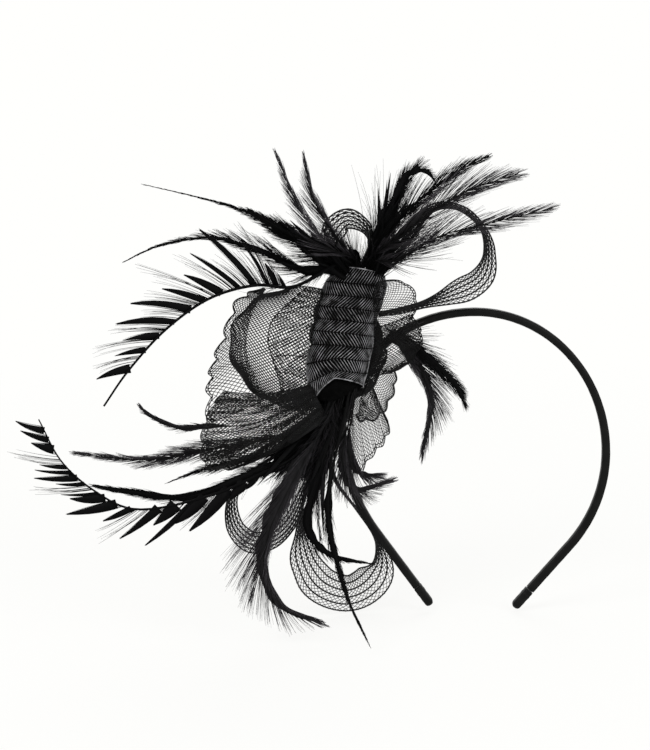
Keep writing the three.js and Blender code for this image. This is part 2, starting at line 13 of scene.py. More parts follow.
import bpy
import numpy as np
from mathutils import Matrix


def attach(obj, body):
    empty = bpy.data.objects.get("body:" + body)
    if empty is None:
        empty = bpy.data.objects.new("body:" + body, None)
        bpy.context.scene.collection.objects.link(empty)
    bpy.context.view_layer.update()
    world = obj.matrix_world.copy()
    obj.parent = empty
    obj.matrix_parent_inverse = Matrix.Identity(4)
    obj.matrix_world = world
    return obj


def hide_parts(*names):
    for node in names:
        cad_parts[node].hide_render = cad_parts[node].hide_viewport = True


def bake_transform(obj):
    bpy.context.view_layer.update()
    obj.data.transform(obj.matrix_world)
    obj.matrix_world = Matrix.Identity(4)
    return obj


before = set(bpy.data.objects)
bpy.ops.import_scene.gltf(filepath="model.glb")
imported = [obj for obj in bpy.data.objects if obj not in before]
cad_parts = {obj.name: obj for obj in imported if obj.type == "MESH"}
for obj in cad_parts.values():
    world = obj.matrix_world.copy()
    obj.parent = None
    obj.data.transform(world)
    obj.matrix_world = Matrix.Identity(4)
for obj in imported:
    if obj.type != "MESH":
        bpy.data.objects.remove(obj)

LOG = logging.getLogger("fascinator")
MM = 0.001
Array = np.ndarray
Surface = Callable[[Array, Array], Array]
FLOWER, RIGHT_ARM = "flower_and_left_arm", "right_arm"


# ---------------------------------------------------------------- small maths


def smooth(t: Array) -> Array:
    """Eases t from 0 to 1: three t squared less two t cubed, on t held between 0 and 1."""
    t = np.clip(t, 0, 1)
    return t * t * (3 - 2 * t)


def unit(v: Array) -> Array:
    """Vectors scaled to length one."""
    return v / np.maximum(np.linalg.norm(v, axis=-1, keepdims=True), 1e-9)


def across(v: Array, along: Array) -> Array:
    """The unit part of v that is square to the unit vector along."""
    return unit(v - np.sum(v * along, axis=-1, keepdims=True) * along)


def lerp(a: Array, b: Array, t: Array) -> Array:
    """A share t of the way from a to b."""
    return a + (b - a) * t


@dataclass(frozen=True)
class Spline:
    """A centripetal Catmull-Rom curve through points, the same curve that the solids follow."""

    points: Array

    def at(self, t: Array) -> Array:
        """Places at shares t of the curve.

        Between two points it is the cubic whose end slopes are weighted by the square roots of
        the three neighbouring spans.

        Args:
            t: shares from 0 to 1, any shape.

        Returns:
            Places, with a last axis of 3.
        """
        p = self.points
        spans = len(p) - 1
        ghost = np.vstack([2 * p[0] - p[1], p, 2 * p[-1] - p[-2]])
        s = np.clip(np.asarray(t, float), 0, 1) * spans
        i = np.minimum(s.astype(int), spans - 1)
        w = (s - i)[..., None]
        a, b, c, d = (ghost[i + k] for k in range(4))
        ab, bc, cd = (np.sqrt(np.linalg.norm(v - u, axis=-1, keepdims=True))
                      for u, v in ((a, b), (b, c), (c, d)))
        leave = ((b - a) / ab - (c - a) / (ab + bc) + (c - b) / bc) * bc
        reach = ((c - b) / bc - (d - b) / (bc + cd) + (d - c) / cd) * bc
        cubic = 2 * b - 2 * c + leave + reach
        square = 3 * c - 3 * b - 2 * leave - reach
        return b + w * (leave + w * (square + w * cubic))

    def slope(self, t: Array) -> Array:
        """Unit tangents, from two places a thousandth of the curve apart."""
        return unit(self.at(np.clip(t, 0, 1) + 5e-4) - self.at(np.clip(t, 0, 1) - 5e-4))

    def length(self) -> float:
        """Its length, added up over 200 steps."""
        return float(np.linalg.norm(np.diff(self.at(np.linspace(0, 1, 201)), axis=0), axis=1).sum())


# ---------------------------------------------------------------- meshes


class Mould:
    """Collects points and faces, and makes one mesh object of them."""

    def __init__(self) -> None:
        """Starts empty."""
        self.points: list[Array] = []
        self.faces: list[Array] = []
        self.tones: list[Array] = []
        self.count = 0

    def add(self, points: Array, faces: Sequence[Array], tone: Array | float = 0.0) -> None:
        """Adds one shell.

        Args:
            points: places, in millimetres.
            faces: arrays of corner numbers, one array for each number of corners.
            tone: a value for each point, which a finish can read.
        """
        points = points.reshape(-1, 3)
        used = np.unique(np.concatenate([f.ravel() for f in faces]))
        place = np.zeros(len(points), int)
        place[used] = np.arange(len(used)) + self.count
        self.points.append(points[used])
        self.tones.append(np.broadcast_to(np.asarray(tone, float).ravel(), (len(points),))[used])
        self.faces.extend(place[f] for f in faces)
        self.count += len(used)

    def make(self, name: str, finish: "Finish", body: str | None = FLOWER) -> bpy.types.Object:
        """Turns what was collected into an object that rides on a body.

        Args:
            name: the object's name.
            finish: its material.
            body: the body that it rides on, or None for a piece that spans two bodies and is attached to
                neither.

        Returns:
            The new object, at the origin.
        """
        mesh = bpy.data.meshes.new(name)
        points = np.concatenate(self.points) * MM
        corners = np.concatenate([f.ravel() for f in self.faces])
        sizes = np.concatenate([np.full(len(f), f.shape[1]) for f in self.faces])
        mesh.vertices.add(len(points))
        mesh.vertices.foreach_set("co", points.ravel())
        mesh.loops.add(len(corners))
        mesh.loops.foreach_set("vertex_index", corners)
        mesh.polygons.add(len(sizes))
        mesh.polygons.foreach_set("loop_start", np.cumsum(sizes) - sizes)
        mesh.update(calc_edges=True)
        mesh.polygons.foreach_set("use_smooth", np.ones(len(sizes), bool))
        mesh.attributes.new("tone", "FLOAT", "POINT").data.foreach_set("value", np.concatenate(self.tones))
        mesh.materials.append(finish.material())
        piece = bpy.data.objects.new(name, mesh)
        put_in_scene(piece)
        if body is not None:
            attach(piece, body)
        LOG.info("%s: %d triangles", name, int((sizes - 2).sum()))
        return piece


def ring_walls(low: Array, high: Array) -> Array:
    """Quads that join rings of point numbers to the next rings, as (quads, 4)."""
    return np.stack([low, np.roll(low, -1, 1), np.roll(high, -1, 1), high], axis=-1).reshape(-1, 4)


def lengths_along(line: Array) -> Array:
    """How far along a line each of its points is, from 0 at the first."""
    return np.concatenate([[0], np.cumsum(np.linalg.norm(np.diff(line, axis=0), axis=1))])


def read_at(places: Array, run: Array, values: Array) -> Array:
    """Rows of values at places along a run, straight between the points that they are given at."""
    return np.stack([np.interp(places, run, column) for column in values.T], axis=-1)


def put_in_scene(made: bpy.types.Object) -> None:
    """Links an object into the scene."""
    bpy.context.scene.collection.objects.link(made)


def strands(
    mould: Mould, lines: Array, radius: Array | float, side: Array,
    keep: Array | None = None, sides: int = 4, tone: Array | float = 0.0, flat: float = 1.0,
) -> None:
    """Adds closed rods along lines of points.

    Each ring stands square to its line: the line's place, plus the radius times the cosine of the
    ring's angle along the side vector and its sine, times flat, along the third direction.

    Args:
        mould: takes the rods.
        lines: places as (rods, points along, 3).
        radius: half thickness, a number or an array that fits (rods, points).
        side: a vector, or vectors, that the sections turn with.
        keep: which points of each rod are used; they are neighbours. None keeps all.
        sides: corners of a section, 3 or 4 or more.
        tone: a value for each line point.
        flat: thickness of the section in its third direction, as a share of its width.
    """
    rods, steps = lines.shape[:2]
    keep = np.ones((rods, steps), bool) if keep is None else keep
    along = unit(np.gradient(lines, axis=1))
    x = across(np.broadcast_to(side, lines.shape), along)
    y = np.cross(along, x) * flat
    angle = 2 * np.pi * (np.arange(sides) + 0.5) / sides
    radius = np.broadcast_to(radius, (rods, steps))[..., None, None]
    section = np.cos(angle)[:, None] * x[:, :, None] + np.sin(angle)[:, None] * y[:, :, None]
    rings = lines[:, :, None] + radius * section
    index = np.arange(rods * steps * sides).reshape(rods, steps, sides)
    linked = keep[:, :-1] & keep[:, 1:]
    low, high = index[:, :-1][linked], index[:, 1:][linked]
    walls = ring_walls(low, high)
    whole = np.flatnonzero(linked.any(axis=1))
    first = keep.argmax(axis=1)[whole]
    last = steps - 1 - keep[:, ::-1].argmax(axis=1)[whole]
    ends = np.concatenate([index[whole, first][:, ::-1], index[whole, last]])
    tones = np.repeat(np.broadcast_to(tone, (rods, steps)).ravel(), sides)
    mould.add(rings, [walls, ends], tones)


def facing(surface: Surface, s: Array, t: Array, step: float = 0.2) -> Array:
    """Unit normals of a surface, from the cross product of its two slopes.

    Args:
        surface: sends flat places to the part's frame.
        s: flat places, across.
        t: flat places, along.
        step: how far each side the slope is taken, in millimetres.

    Returns:
        Normals, with a last axis of 3.
    """
    slope_s = surface(s + step, t) - surface(s - step, t)
    slope_t = surface(s, t + step) - surface(s, t - step)
    return unit(np.cross(slope_s, slope_t))


@dataclass(frozen=True)
class Net:
    """Crinoline: threads that cross on the bias, over one and under one."""

    pitch: float = 1.25
    bias: float = 45.0  # degrees between a thread and the cloth's length
    thread: float = 0.16
    lift: float = 0.13  # how far a thread rises over the one it crosses

    def weave(
        self, mould: Mould, surface: Surface, size: tuple[float, float],
        turn: float = 0.0, offset: float = 0.0,
    ) -> None:
        """Adds both families of threads.

        The threads cross at the points of a slanted grid: point (i, j) is i steps along the first
        direction and j along the second. A thread is above the cloth where i + j is even and
        under it where it is odd, and the other family the other way about. The outermost point of
        each thread is moved on to the cloth's edge.

        Args:
            mould: takes the threads.
            surface: sends flat places (s, t) to the part's frame.
            size: the cloth's flat width and length.
            turn: degrees by which this layer's threads are turned.
            offset: how far this layer stands off the surface.
        """
        width, length = size
        one, two = (math.radians(turn + k * self.bias) for k in (1, -1))
        step = self.pitch / abs(math.sin(one - two))
        reach = int((width + length) / step) + 2
        i, j = np.meshgrid(np.arange(-reach, reach), np.arange(-reach, reach), indexing="ij")
        s = width / 2 + step * (i * math.sin(one) + j * math.sin(two))
        t = length / 2 + step * (i * math.cos(one) + j * math.cos(two))
        slack = 0.6 * step
        keep = (s > -slack) & (s < width + slack) & (t > -slack) & (t < length + slack)
        rows, columns = np.flatnonzero(keep.any(axis=1)), np.flatnonzero(keep.any(axis=0))
        window = np.s_[rows[0]:rows[-1] + 1, columns[0]:columns[-1] + 1]
        s, t, keep = np.clip(s[window], 0, width), np.clip(t[window], 0, length), keep[window]
        sign = np.where((i + j)[window] % 2 == 0, 1.0, -1.0)[..., None]
        normal = facing(surface, s, t)
        base = surface(s, t) + normal * offset
        over, under = base + normal * self.lift * sign, base - normal * self.lift * sign
        strands(mould, over.swapaxes(0, 1), self.thread, normal.swapaxes(0, 1), keep.T)
        strands(mould, under, self.thread, normal, keep)


def cords(mould: Mould, surface: Surface, runs: Sequence[Array], radius: float, sides: int = 5) -> None:
    """Adds thicker cords that lie in a cloth, each along one array of (s, t) places."""
    for run in runs:
        line = surface(run[:, 0], run[:, 1])[None]
        strands(mould, line, radius, facing(surface, run[:, 0], run[:, 1])[None], sides=sides)


# ---------------------------------------------------------------- shader helpers


class Reading:
    """A shader value. Arithmetic on it adds Math nodes."""

    def __init__(self, graph: "Graph", socket: bpy.types.NodeSocket) -> None:
        """Wraps one output socket of a graph."""
        self.graph, self.socket = graph, socket

    def math(self, operation: str, *values: "Reading | float") -> "Reading":
        """A Math node of the given operation on these values."""
        made = self.graph.node("ShaderNodeMath", {"operation": operation}, dict(enumerate(values)))
        return Reading(self.graph, made.outputs[0])

    def __add__(self, other: "Reading | float") -> "Reading":
        """Sum."""
        return self.math("ADD", self, other)

    def __sub__(self, other: "Reading | float") -> "Reading":
        """Difference."""
        return self.math("SUBTRACT", self, other)

    def __rsub__(self, other: float) -> "Reading":
        """Difference, from a number."""
        return self.math("SUBTRACT", other, self)

    def __mul__(self, other: "Reading | float") -> "Reading":
        """Product."""
        return self.math("MULTIPLY", self, other)

    __radd__ = __add__
    __rmul__ = __mul__


class Graph:
    """The node tree of one material or of the world."""

    def __init__(self, owner: bpy.types.ID) -> None:
        """Empties the owner's tree."""
        owner.use_nodes = True
        self.tree = owner.node_tree
        self.tree.nodes.clear()

    def node(self, kind: str, settings: dict | None = None, inputs: dict | None = None) -> bpy.types.Node:
        """Adds one node.

        Args:
            kind: the node's type.
            settings: attributes of the node, set first; "stops" is a ramp's (place, colour) pairs.
            inputs: socket name or number to a number, colour, socket or Reading.

        Returns:
            The new node.
        """
        made = self.tree.nodes.new(kind)
        for name, value in (settings or {}).items():
            if name == "stops":
                elements = made.color_ramp.elements
                for k, (place, colour) in enumerate(value):
                    stop = elements[k] if k < 2 else elements.new(place)
                    stop.position, stop.color = place, (*colour, 1)
            else:
                setattr(made, name, value)
        for name, value in (inputs or {}).items():
            socket = made.inputs[name]
            if isinstance(value, Reading):
                self.tree.links.new(value.socket, socket)
            elif isinstance(value, bpy.types.NodeSocket):
                self.tree.links.new(value, socket)
            else:
                socket.default_value = value
        return made

    def place(self, scale: tuple[float, float, float] = (1, 1, 1)) -> bpy.types.NodeSocket:
        """Object coordinates, scaled."""
        where = self.node("ShaderNodeTexCoord")
        mapped = self.node("ShaderNodeMapping", None, {"Vector": where.outputs["Object"], "Scale": scale})
        return mapped.outputs["Vector"]

    def noise(self, scale: float, detail: float = 2.0, stretch: tuple[float, float, float] = (1, 1,
            1)) -> Reading:
        """A noise of about the given cycles to the metre."""
        made = self.node("ShaderNodeTexNoise", None,
                         {"Vector": self.place(stretch), "Scale": scale, "Detail": detail})
        return Reading(self, made.outputs["Fac"])

    def tone(self) -> Reading:
        """The mesh's own tone value."""
        return Reading(self, self.node("ShaderNodeAttribute", {"attribute_name": "tone"}).outputs["Fac"])

    def ramp(self, value: Reading, stops: Sequence[tuple[float, tuple[float, float,
            float]]]) -> bpy.types.NodeSocket:
        """A colour that follows a value."""
        return self.node("ShaderNodeValToRGB", {"stops": stops}, {"Fac": value}).outputs["Color"]

    def bump(self, height: Reading, depth: float, strength: float = 1.0) -> bpy.types.NodeSocket:
        """A Bump node's normal, for a height of so many metres."""
        made = self.node("ShaderNodeBump", None, {"Height": height, "Distance": depth, "Strength": strength})
        return made.outputs["Normal"]

    def surface(self, inputs: dict) -> None:
        """Ends a material's tree in a principled surface with these inputs."""
        shader = self.node("ShaderNodeBsdfPrincipled", None, inputs)
        self.node("ShaderNodeOutputMaterial", None, {"Surface": shader.outputs["BSDF"]})


# ---------------------------------------------------------------- finishes


@dataclass(frozen=True)
class Finish:
    """A named material. Subclasses say how its surface looks."""

    name: str
    slot: str

    def material(self) -> bpy.types.Material:
        """The material of this finish, made the first time it is asked for."""
        known = bpy.data.materials.get(self.name)
        if known is None:
            known = bpy.data.materials.new(self.name)
            self.dress(Graph(known))
        return known

    def dress(self, graph: Graph) -> None:
        """Builds the nodes."""
        raise NotImplementedError


@dataclass(frozen=True)
class ThreadFinish(Finish):
    """Black nylon thread: smooth, with a little variation in depth of colour along it."""

    dark: float = 0.002
    light: float = 0.008
    gloss: float = 0.4
    shine: float = 0.1

    def dress(self, graph: Graph) -> None:
        """Colour drifts between dark and light over a few millimetres."""
        drift = graph.noise(260, 3)
        colour = graph.ramp(drift, [(0.35, (self.dark,) * 3), (0.7, (self.light, self.light,
                self.light * 1.04))])
        graph.surface({"Base Color": colour, "Roughness": drift * 0.2 + self.gloss,
                       "Normal": graph.bump(graph.noise(4200, 1), 0.00004, 0.5),
                       "Specular IOR Level": self.shine})


@dataclass(frozen=True)
class ClothFinish(Finish):
    """Close dark cloth with a fine woven grain."""

    dark: float = 0.0006
    light: float = 0.003
    rough: float = 0.7
    grain: float = 1700.0
    depth: float = 0.00012

    def dress(self, graph: Graph) -> None:
        """Two crossed sine gratings make the grain, and a noise wears it."""
        split = graph.node("ShaderNodeSeparateXYZ", None, {"Vector": graph.place()})
        x, y, z = (Reading(graph, split.outputs[k]) for k in range(3))
        warp = x.math("SINE", (x + z) * self.grain)
        weft = x.math("SINE", (x - z + y) * self.grain)
        drift = graph.noise(420, 4)
        colour = graph.ramp(drift, [(0.25, (self.dark,) * 3), (0.8, (self.light,) * 3)])
        height = warp * 0.3 + weft * 0.3 + graph.noise(2600, 2) * 0.6
        graph.surface({"Base Color": colour, "Roughness": drift * 0.2 + self.rough,
                       "Normal": graph.bump(height, self.depth, 0.8), "Specular IOR Level": 0.02})


@dataclass(frozen=True)
class SatinFinish(Finish):
    """Black satin ribbon pulled round the strip: soft gloss, fine ribs and small drag wrinkles."""

    def dress(self, graph: Graph) -> None:
        """Ribs run round the headband every third of a millimetre; wrinkles are a stretched noise, and the
        colour follows that noise as painted shade in its troughs and painted light on its ridges.
        """
        split = graph.node("ShaderNodeSeparateXYZ", None, {"Vector": graph.place()})
        x, z = Reading(graph, split.outputs[0]), Reading(graph, split.outputs[2])
        ribs = x.math("SINE", (x + z) * 19000.0)
        wrinkles = graph.noise(190, 3, (1, 0.35, 1))
        drift = graph.noise(900, 2)
        # painted shade and light: the colour is darker where the wrinkle noise dips and lighter where it
        # rises
        colour = graph.ramp(wrinkles, [(0.3, (0.0015, 0.0015, 0.0014)), (0.75, (0.005, 0.0052, 0.0048))])
        graph.surface({"Base Color": colour, "Roughness": drift * 0.16 + 0.36,
                       "Normal": graph.bump(ribs * 0.06 + wrinkles * 2.2, 0.00022, 0.55),
                       "Specular IOR Level": 0.1})


@dataclass(frozen=True)
class FeltFinish(Finish):
    """Pressed wool felt, matt and hairy."""

    def dress(self, graph: Graph) -> None:
        """Fine noise lifts the fibres and a broad one mottles the colour."""
        fibres = graph.noise(3800, 5)
        colour = graph.ramp(graph.noise(700, 4), [(0.3, (0.003,) * 3), (0.75, (0.013,) * 3)])
        graph.surface({"Base Color": colour, "Roughness": fibres * 0.1 + 0.86,
                       "Normal": graph.bump(fibres, 0.00035, 0.9), "Specular IOR Level": 0.2,
                       "Sheen Weight": 0.06, "Sheen Roughness": 0.6})


@dataclass(frozen=True)
class FeatherFinish(Finish):
    """Feather: near black at the shaft, going to the tip's colour along each barb."""

    tip: tuple[float, float, float] = (0.005, 0.005, 0.0055)
    gloss: float = 0.5
    shine: float = 0.05

    def dress(self, graph: Graph) -> None:
        """The tone is how far along its barb a point is; a streaky noise varies it."""
        streaks = graph.noise(520, 3, (1, 1, 0.4))
        reach = graph.tone() + (streaks - 0.5) * 0.35
        half = tuple(0.4 * c for c in self.tip)
        colour = graph.ramp(reach, [(0.0, (0.0012, 0.0012, 0.0013)), (0.6, half), (1.0, self.tip)])
        graph.surface({"Base Color": colour, "Roughness": streaks * 0.25 + self.gloss,
                       "Normal": graph.bump(streaks, 0.00006, 0.5), "Specular IOR Level": self.shine})


@dataclass(frozen=True)
class StripFinish(Finish):
    """Moulded dark plastic of the spring strip."""

    def dress(self, graph: Graph) -> None:
        """A faint flow mark over an even grey."""
        flow = graph.noise(160, 2, (1, 1, 0.2))
        colour = graph.ramp(flow, [(0.3, (0.035,) * 3), (0.8, (0.055,) * 3)])
        graph.surface({"Base Color": colour, "Roughness": flow * 0.2 + 0.4,
                       "Normal": graph.bump(flow, 0.00005, 0.5)})


CRINOLINE = ThreadFinish("crinoline_thread", "crinoline")
BRAID = ThreadFinish("braid_thread", "crinoline_braid", dark=0.003, light=0.012, gloss=0.35)
KNOT_CLOTH = ClothFinish("knot_cloth", "crinoline")
# painted light: the black crinoline's herringbone bars and rim threads are coloured from near black to
# grey-white, standing for light that shows along them
KNOT_THREAD_PAINTED_LIGHT = ThreadFinish("knot_thread", "crinoline", dark=0.02, light=0.5, gloss=0.5, shine=0.15)
WOUND = ThreadFinish("wound_thread", "binding_thread", dark=0.002, light=0.006, gloss=0.6)
SATIN = SatinFinish("black_satin_ribbon", "black_satin")
FELT = FeltFinish("pressed_felt", "felt")
BLACK_FEATHER = FeatherFinish("black_cock_feather", "feather")
SMOKE_FEATHER = FeatherFinish("smoke_cock_feather", "smoke_feather", (0.075, 0.07, 0.078), 0.5, 0.1)
STRIP = StripFinish("spring_strip_plastic", "spring_strip")


# ---------------------------------------------------------------- headband


@dataclass(frozen=True)
class Arm:
    """Half of the headband: a quarter ellipse, a leg arc and a straight, as in the solids."""

    side: int
    reach: float
    fall: float
    leg_radius: float
    leg_turn: float
    straight: float

    def trace(self, crown: float, step: float = 0.6) -> Array:
        """Places in XZ along the mid-line from the crown to the tip, evenly spaced.

        Args:
            crown: the mid-line's height at the crown.
            step: the spacing.

        Returns:
            Places as (points, 2).
        """
        quarter = np.linspace(0, np.pi / 2, 400)
        over = np.stack([self.side * self.reach * np.sin(quarter),
                         crown - self.fall + self.fall * np.cos(quarter)], axis=-1)
        turn = np.linspace(0, math.radians(self.leg_turn), 200)[1:]
        hub = np.array([self.side * (self.reach - self.leg_radius), crown - self.fall])
        leg = hub + self.leg_radius * np.stack([self.side * np.cos(turn), -np.sin(turn)], axis=-1)
        down = np.array([-self.side * np.sin(turn[-1]), -np.cos(turn[-1])])
        end = leg[-1] + down * self.straight
        rough = np.vstack([over, leg, end])
        run = lengths_along(rough)
        even = np.linspace(0, run[-1], int(run[-1] / step) + 1)
        return read_at(even, run, rough)


@dataclass
class Headband:
    """The satin-covered spring strip, whole from tip to tip, and its two folded tips."""

    width: float = 5.0
    thick: float = 3.7
    wall: float = 0.6
    corner: float = 1.25
    cap_length: float = 12.0
    cap_skin: float = 0.15
    bend_half: float = 18.0  # how far each side of the crown the flex is spread
    left: Arm = Arm(-1, 62.5, 56.8, 88, 36, 45)
    right: Arm = Arm(1, 63.7, 69.8, 70, 40, 41)
    path: Array = field(init=False)

    def __post_init__(self) -> None:
        """Joins the two halves into one line from the left tip to the right tip."""
        crown = self.thick / 2
        flat = np.vstack([self.left.trace(crown)[:0:-1], self.right.trace(crown)])
        self.path = np.stack([flat[:, 0], np.zeros(len(flat)), flat[:, 1]], axis=-1)

    def section(self, width: float, thick: float, corner: float, lap: float = 0.0) -> Array:
        """A rounded rectangle's outline, front to back by inside to outside.

        Args:
            width: front to back.
            thick: head side to outside.
            corner: the corners' radius.
            lap: height of the ribbon's lapped edge along the inside front corner.

        Returns:
            The outline as (corners, 2).
        """
        angle = (np.arange(28) + 0.5) * 2 * np.pi / 28
        way = np.stack([np.cos(angle), np.sin(angle)], axis=-1)
        core = np.array([width / 2 - corner, thick / 2 - corner])
        outline = np.sign(way) * core + corner * way
        place = np.exp(-(((angle - np.radians(236)) / 0.13) ** 2))[:, None]
        return outline + way * lap * place

    def tube(self, line: Array, outline: Array, radial: Array, grow: Array) -> Array:
        """Rings of an outline along a line, in order.

        Args:
            line: places along the headband.
            outline: the section.
            radial: unit vectors from the head outwards.
            grow: a scale for each ring.

        Returns:
            Points as (rings, corners, 3).
        """
        depth = np.array([0.0, 1.0, 0.0])
        flat = outline[None] * grow[:, None, None]
        return line[:, None] + flat[..., :1] * depth + flat[..., 1:] * radial[:, None]

    def outward(self, line: Array) -> Array:
        """Unit vectors square to the line in its plane, away from the head."""
        along = unit(np.gradient(line, axis=0))
        return np.cross(along, [0.0, 1.0, 0.0]) * -1

    def closed(self, mould: Mould, rings: Array, inner: Array | None = None) -> None:
        """Adds a tube with both ends closed, or with a wall between two tubes.

        Args:
            mould: takes the tube.
            rings: the outside, as (rings, corners, 3).
            inner: the inside, the same shape, or None for a solid tube.
        """
        steps, corners = rings.shape[:2]
        index = np.arange(steps * corners).reshape(steps, corners)
        low, high = index[:-1], index[1:]
        wall = ring_walls(low, high)
        if inner is None:
            mould.add(rings, [wall[:, ::-1], index[0][None], index[-1][::-1][None]])
            return
        far = wall + index.size
        inside = index + index.size
        rims = []
        for ring, lining, flip in ((index[0], inside[0], 1), (index[-1], inside[-1], -1)):
            quad = np.stack([ring, np.roll(ring, -1), np.roll(lining, -1), lining], axis=-1)
            rims.append(quad[:, ::flip])
        mould.add(np.concatenate([rings.reshape(-1, 3), inner.reshape(-1, 3)]), [wall[:, ::-1], far, *rims])

    def build(self) -> None:
        """Makes the sleeve, the strip and the two tips."""
        line, radial = self.path, self.outward(self.path)
        run = lengths_along(line)
        from_tip = np.minimum(run, run[-1] - run)
        body = from_tip >= self.cap_length - 0.4
        ripple = 1 + 0.012 * np.sin(run * 0.9) * np.sin(run * 0.31 + 1)
        sleeve = Mould()
        outside = self.tube(line[body], self.section(self.width, self.thick, self.corner, 0.35),
                            radial[body], ripple[body])
        hollow = self.section(self.width - 2 * self.wall, self.thick - 2 * self.wall, self.corner / 2)
        self.closed(sleeve, outside, self.tube(line[body], hollow, radial[body], np.ones(body.sum())))
        piece = sleeve.make("satin_ribbon_cover", SATIN, None)
        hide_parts("satin_sleeve_left", "satin_sleeve_right")
        girth = float(np.linalg.norm(np.diff(self.section(self.width, self.thick, self.corner), axis=0),
                axis=1).sum())
        self.flex(piece)

        strip = Mould()
        kept = from_tip >= 2.0
        bar = self.section(self.width - 2 * self.wall - 0.6, self.thick - 2 * self.wall - 0.6, 0.45)
        self.closed(strip, self.tube(line[kept], bar, radial[kept], np.ones(kept.sum())))
        piece = strip.make("spring_strip_bar", STRIP, None)
        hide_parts("band_core_left", "band_core_right")
        self.flex(piece)
        for name, side, rides in (("left", slice(None, None, -1), FLOWER), ("right", slice(None), RIGHT_ARM)):
            self.tip(name, line[side], radial[side], run, rides)

    def flex(self, piece: bpy.types.Object) -> None:
        """Bakes the piece's transform into its mesh."""
        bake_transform(piece)

    def tip(self, name: str, line: Array, radial: Array, run: Array, rides: str) -> None:
        """A tip: ribbon folded over the strip's end and wound back on itself.

        The section grows by the fold's thickness, closes to the end as a quarter ellipse, and
        carries two raised turns of ribbon near its upper edge.

        Args:
            name: left or right.
            line: places along the headband, this tip last.
            radial: unit vectors from the head outwards.
            run: distances along the line.
            rides: the body that it rides on.
        """
        start = np.searchsorted(run - run[-1], -self.cap_length)
        fine = np.linspace(run[start], run[-1] - 0.02, 60)
        place = read_at(fine, run, line)
        out = unit(read_at(fine, run, radial))
        left = run[-1] - fine
        rounding = 2.4
        wound = ((0.035, 10.4, 0.55), (0.03, 8.6, 0.5))  # each turn's rise, distance from the end and spread
        close = np.sqrt(np.clip(1 - np.clip(1 - left / rounding, 0, 1) ** 2, 0.0, 1))
        turns = sum(rise * np.exp(-(((left - at) / spread) ** 2)) for rise, at, spread in wound)
        fold = 0.02 * np.sin(left * 1.7) * np.clip(left / 6, 0, 1)
        grow = np.maximum(close * (1 + turns + fold), 0.03)
        mould = Mould()
        outline = self.section(self.width + 2 * self.cap_skin, self.thick + 2 * self.cap_skin, 1.4, 0.3)
        rings = self.tube(place, outline, out, grow)
        self.closed(mould, rings if name == "right" else rings[:, ::-1])
        piece = mould.make(f"ribbon_tip_{name}", SATIN, rides)
        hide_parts(f"tip_cap_{name}")


# ---------------------------------------------------------------- knot


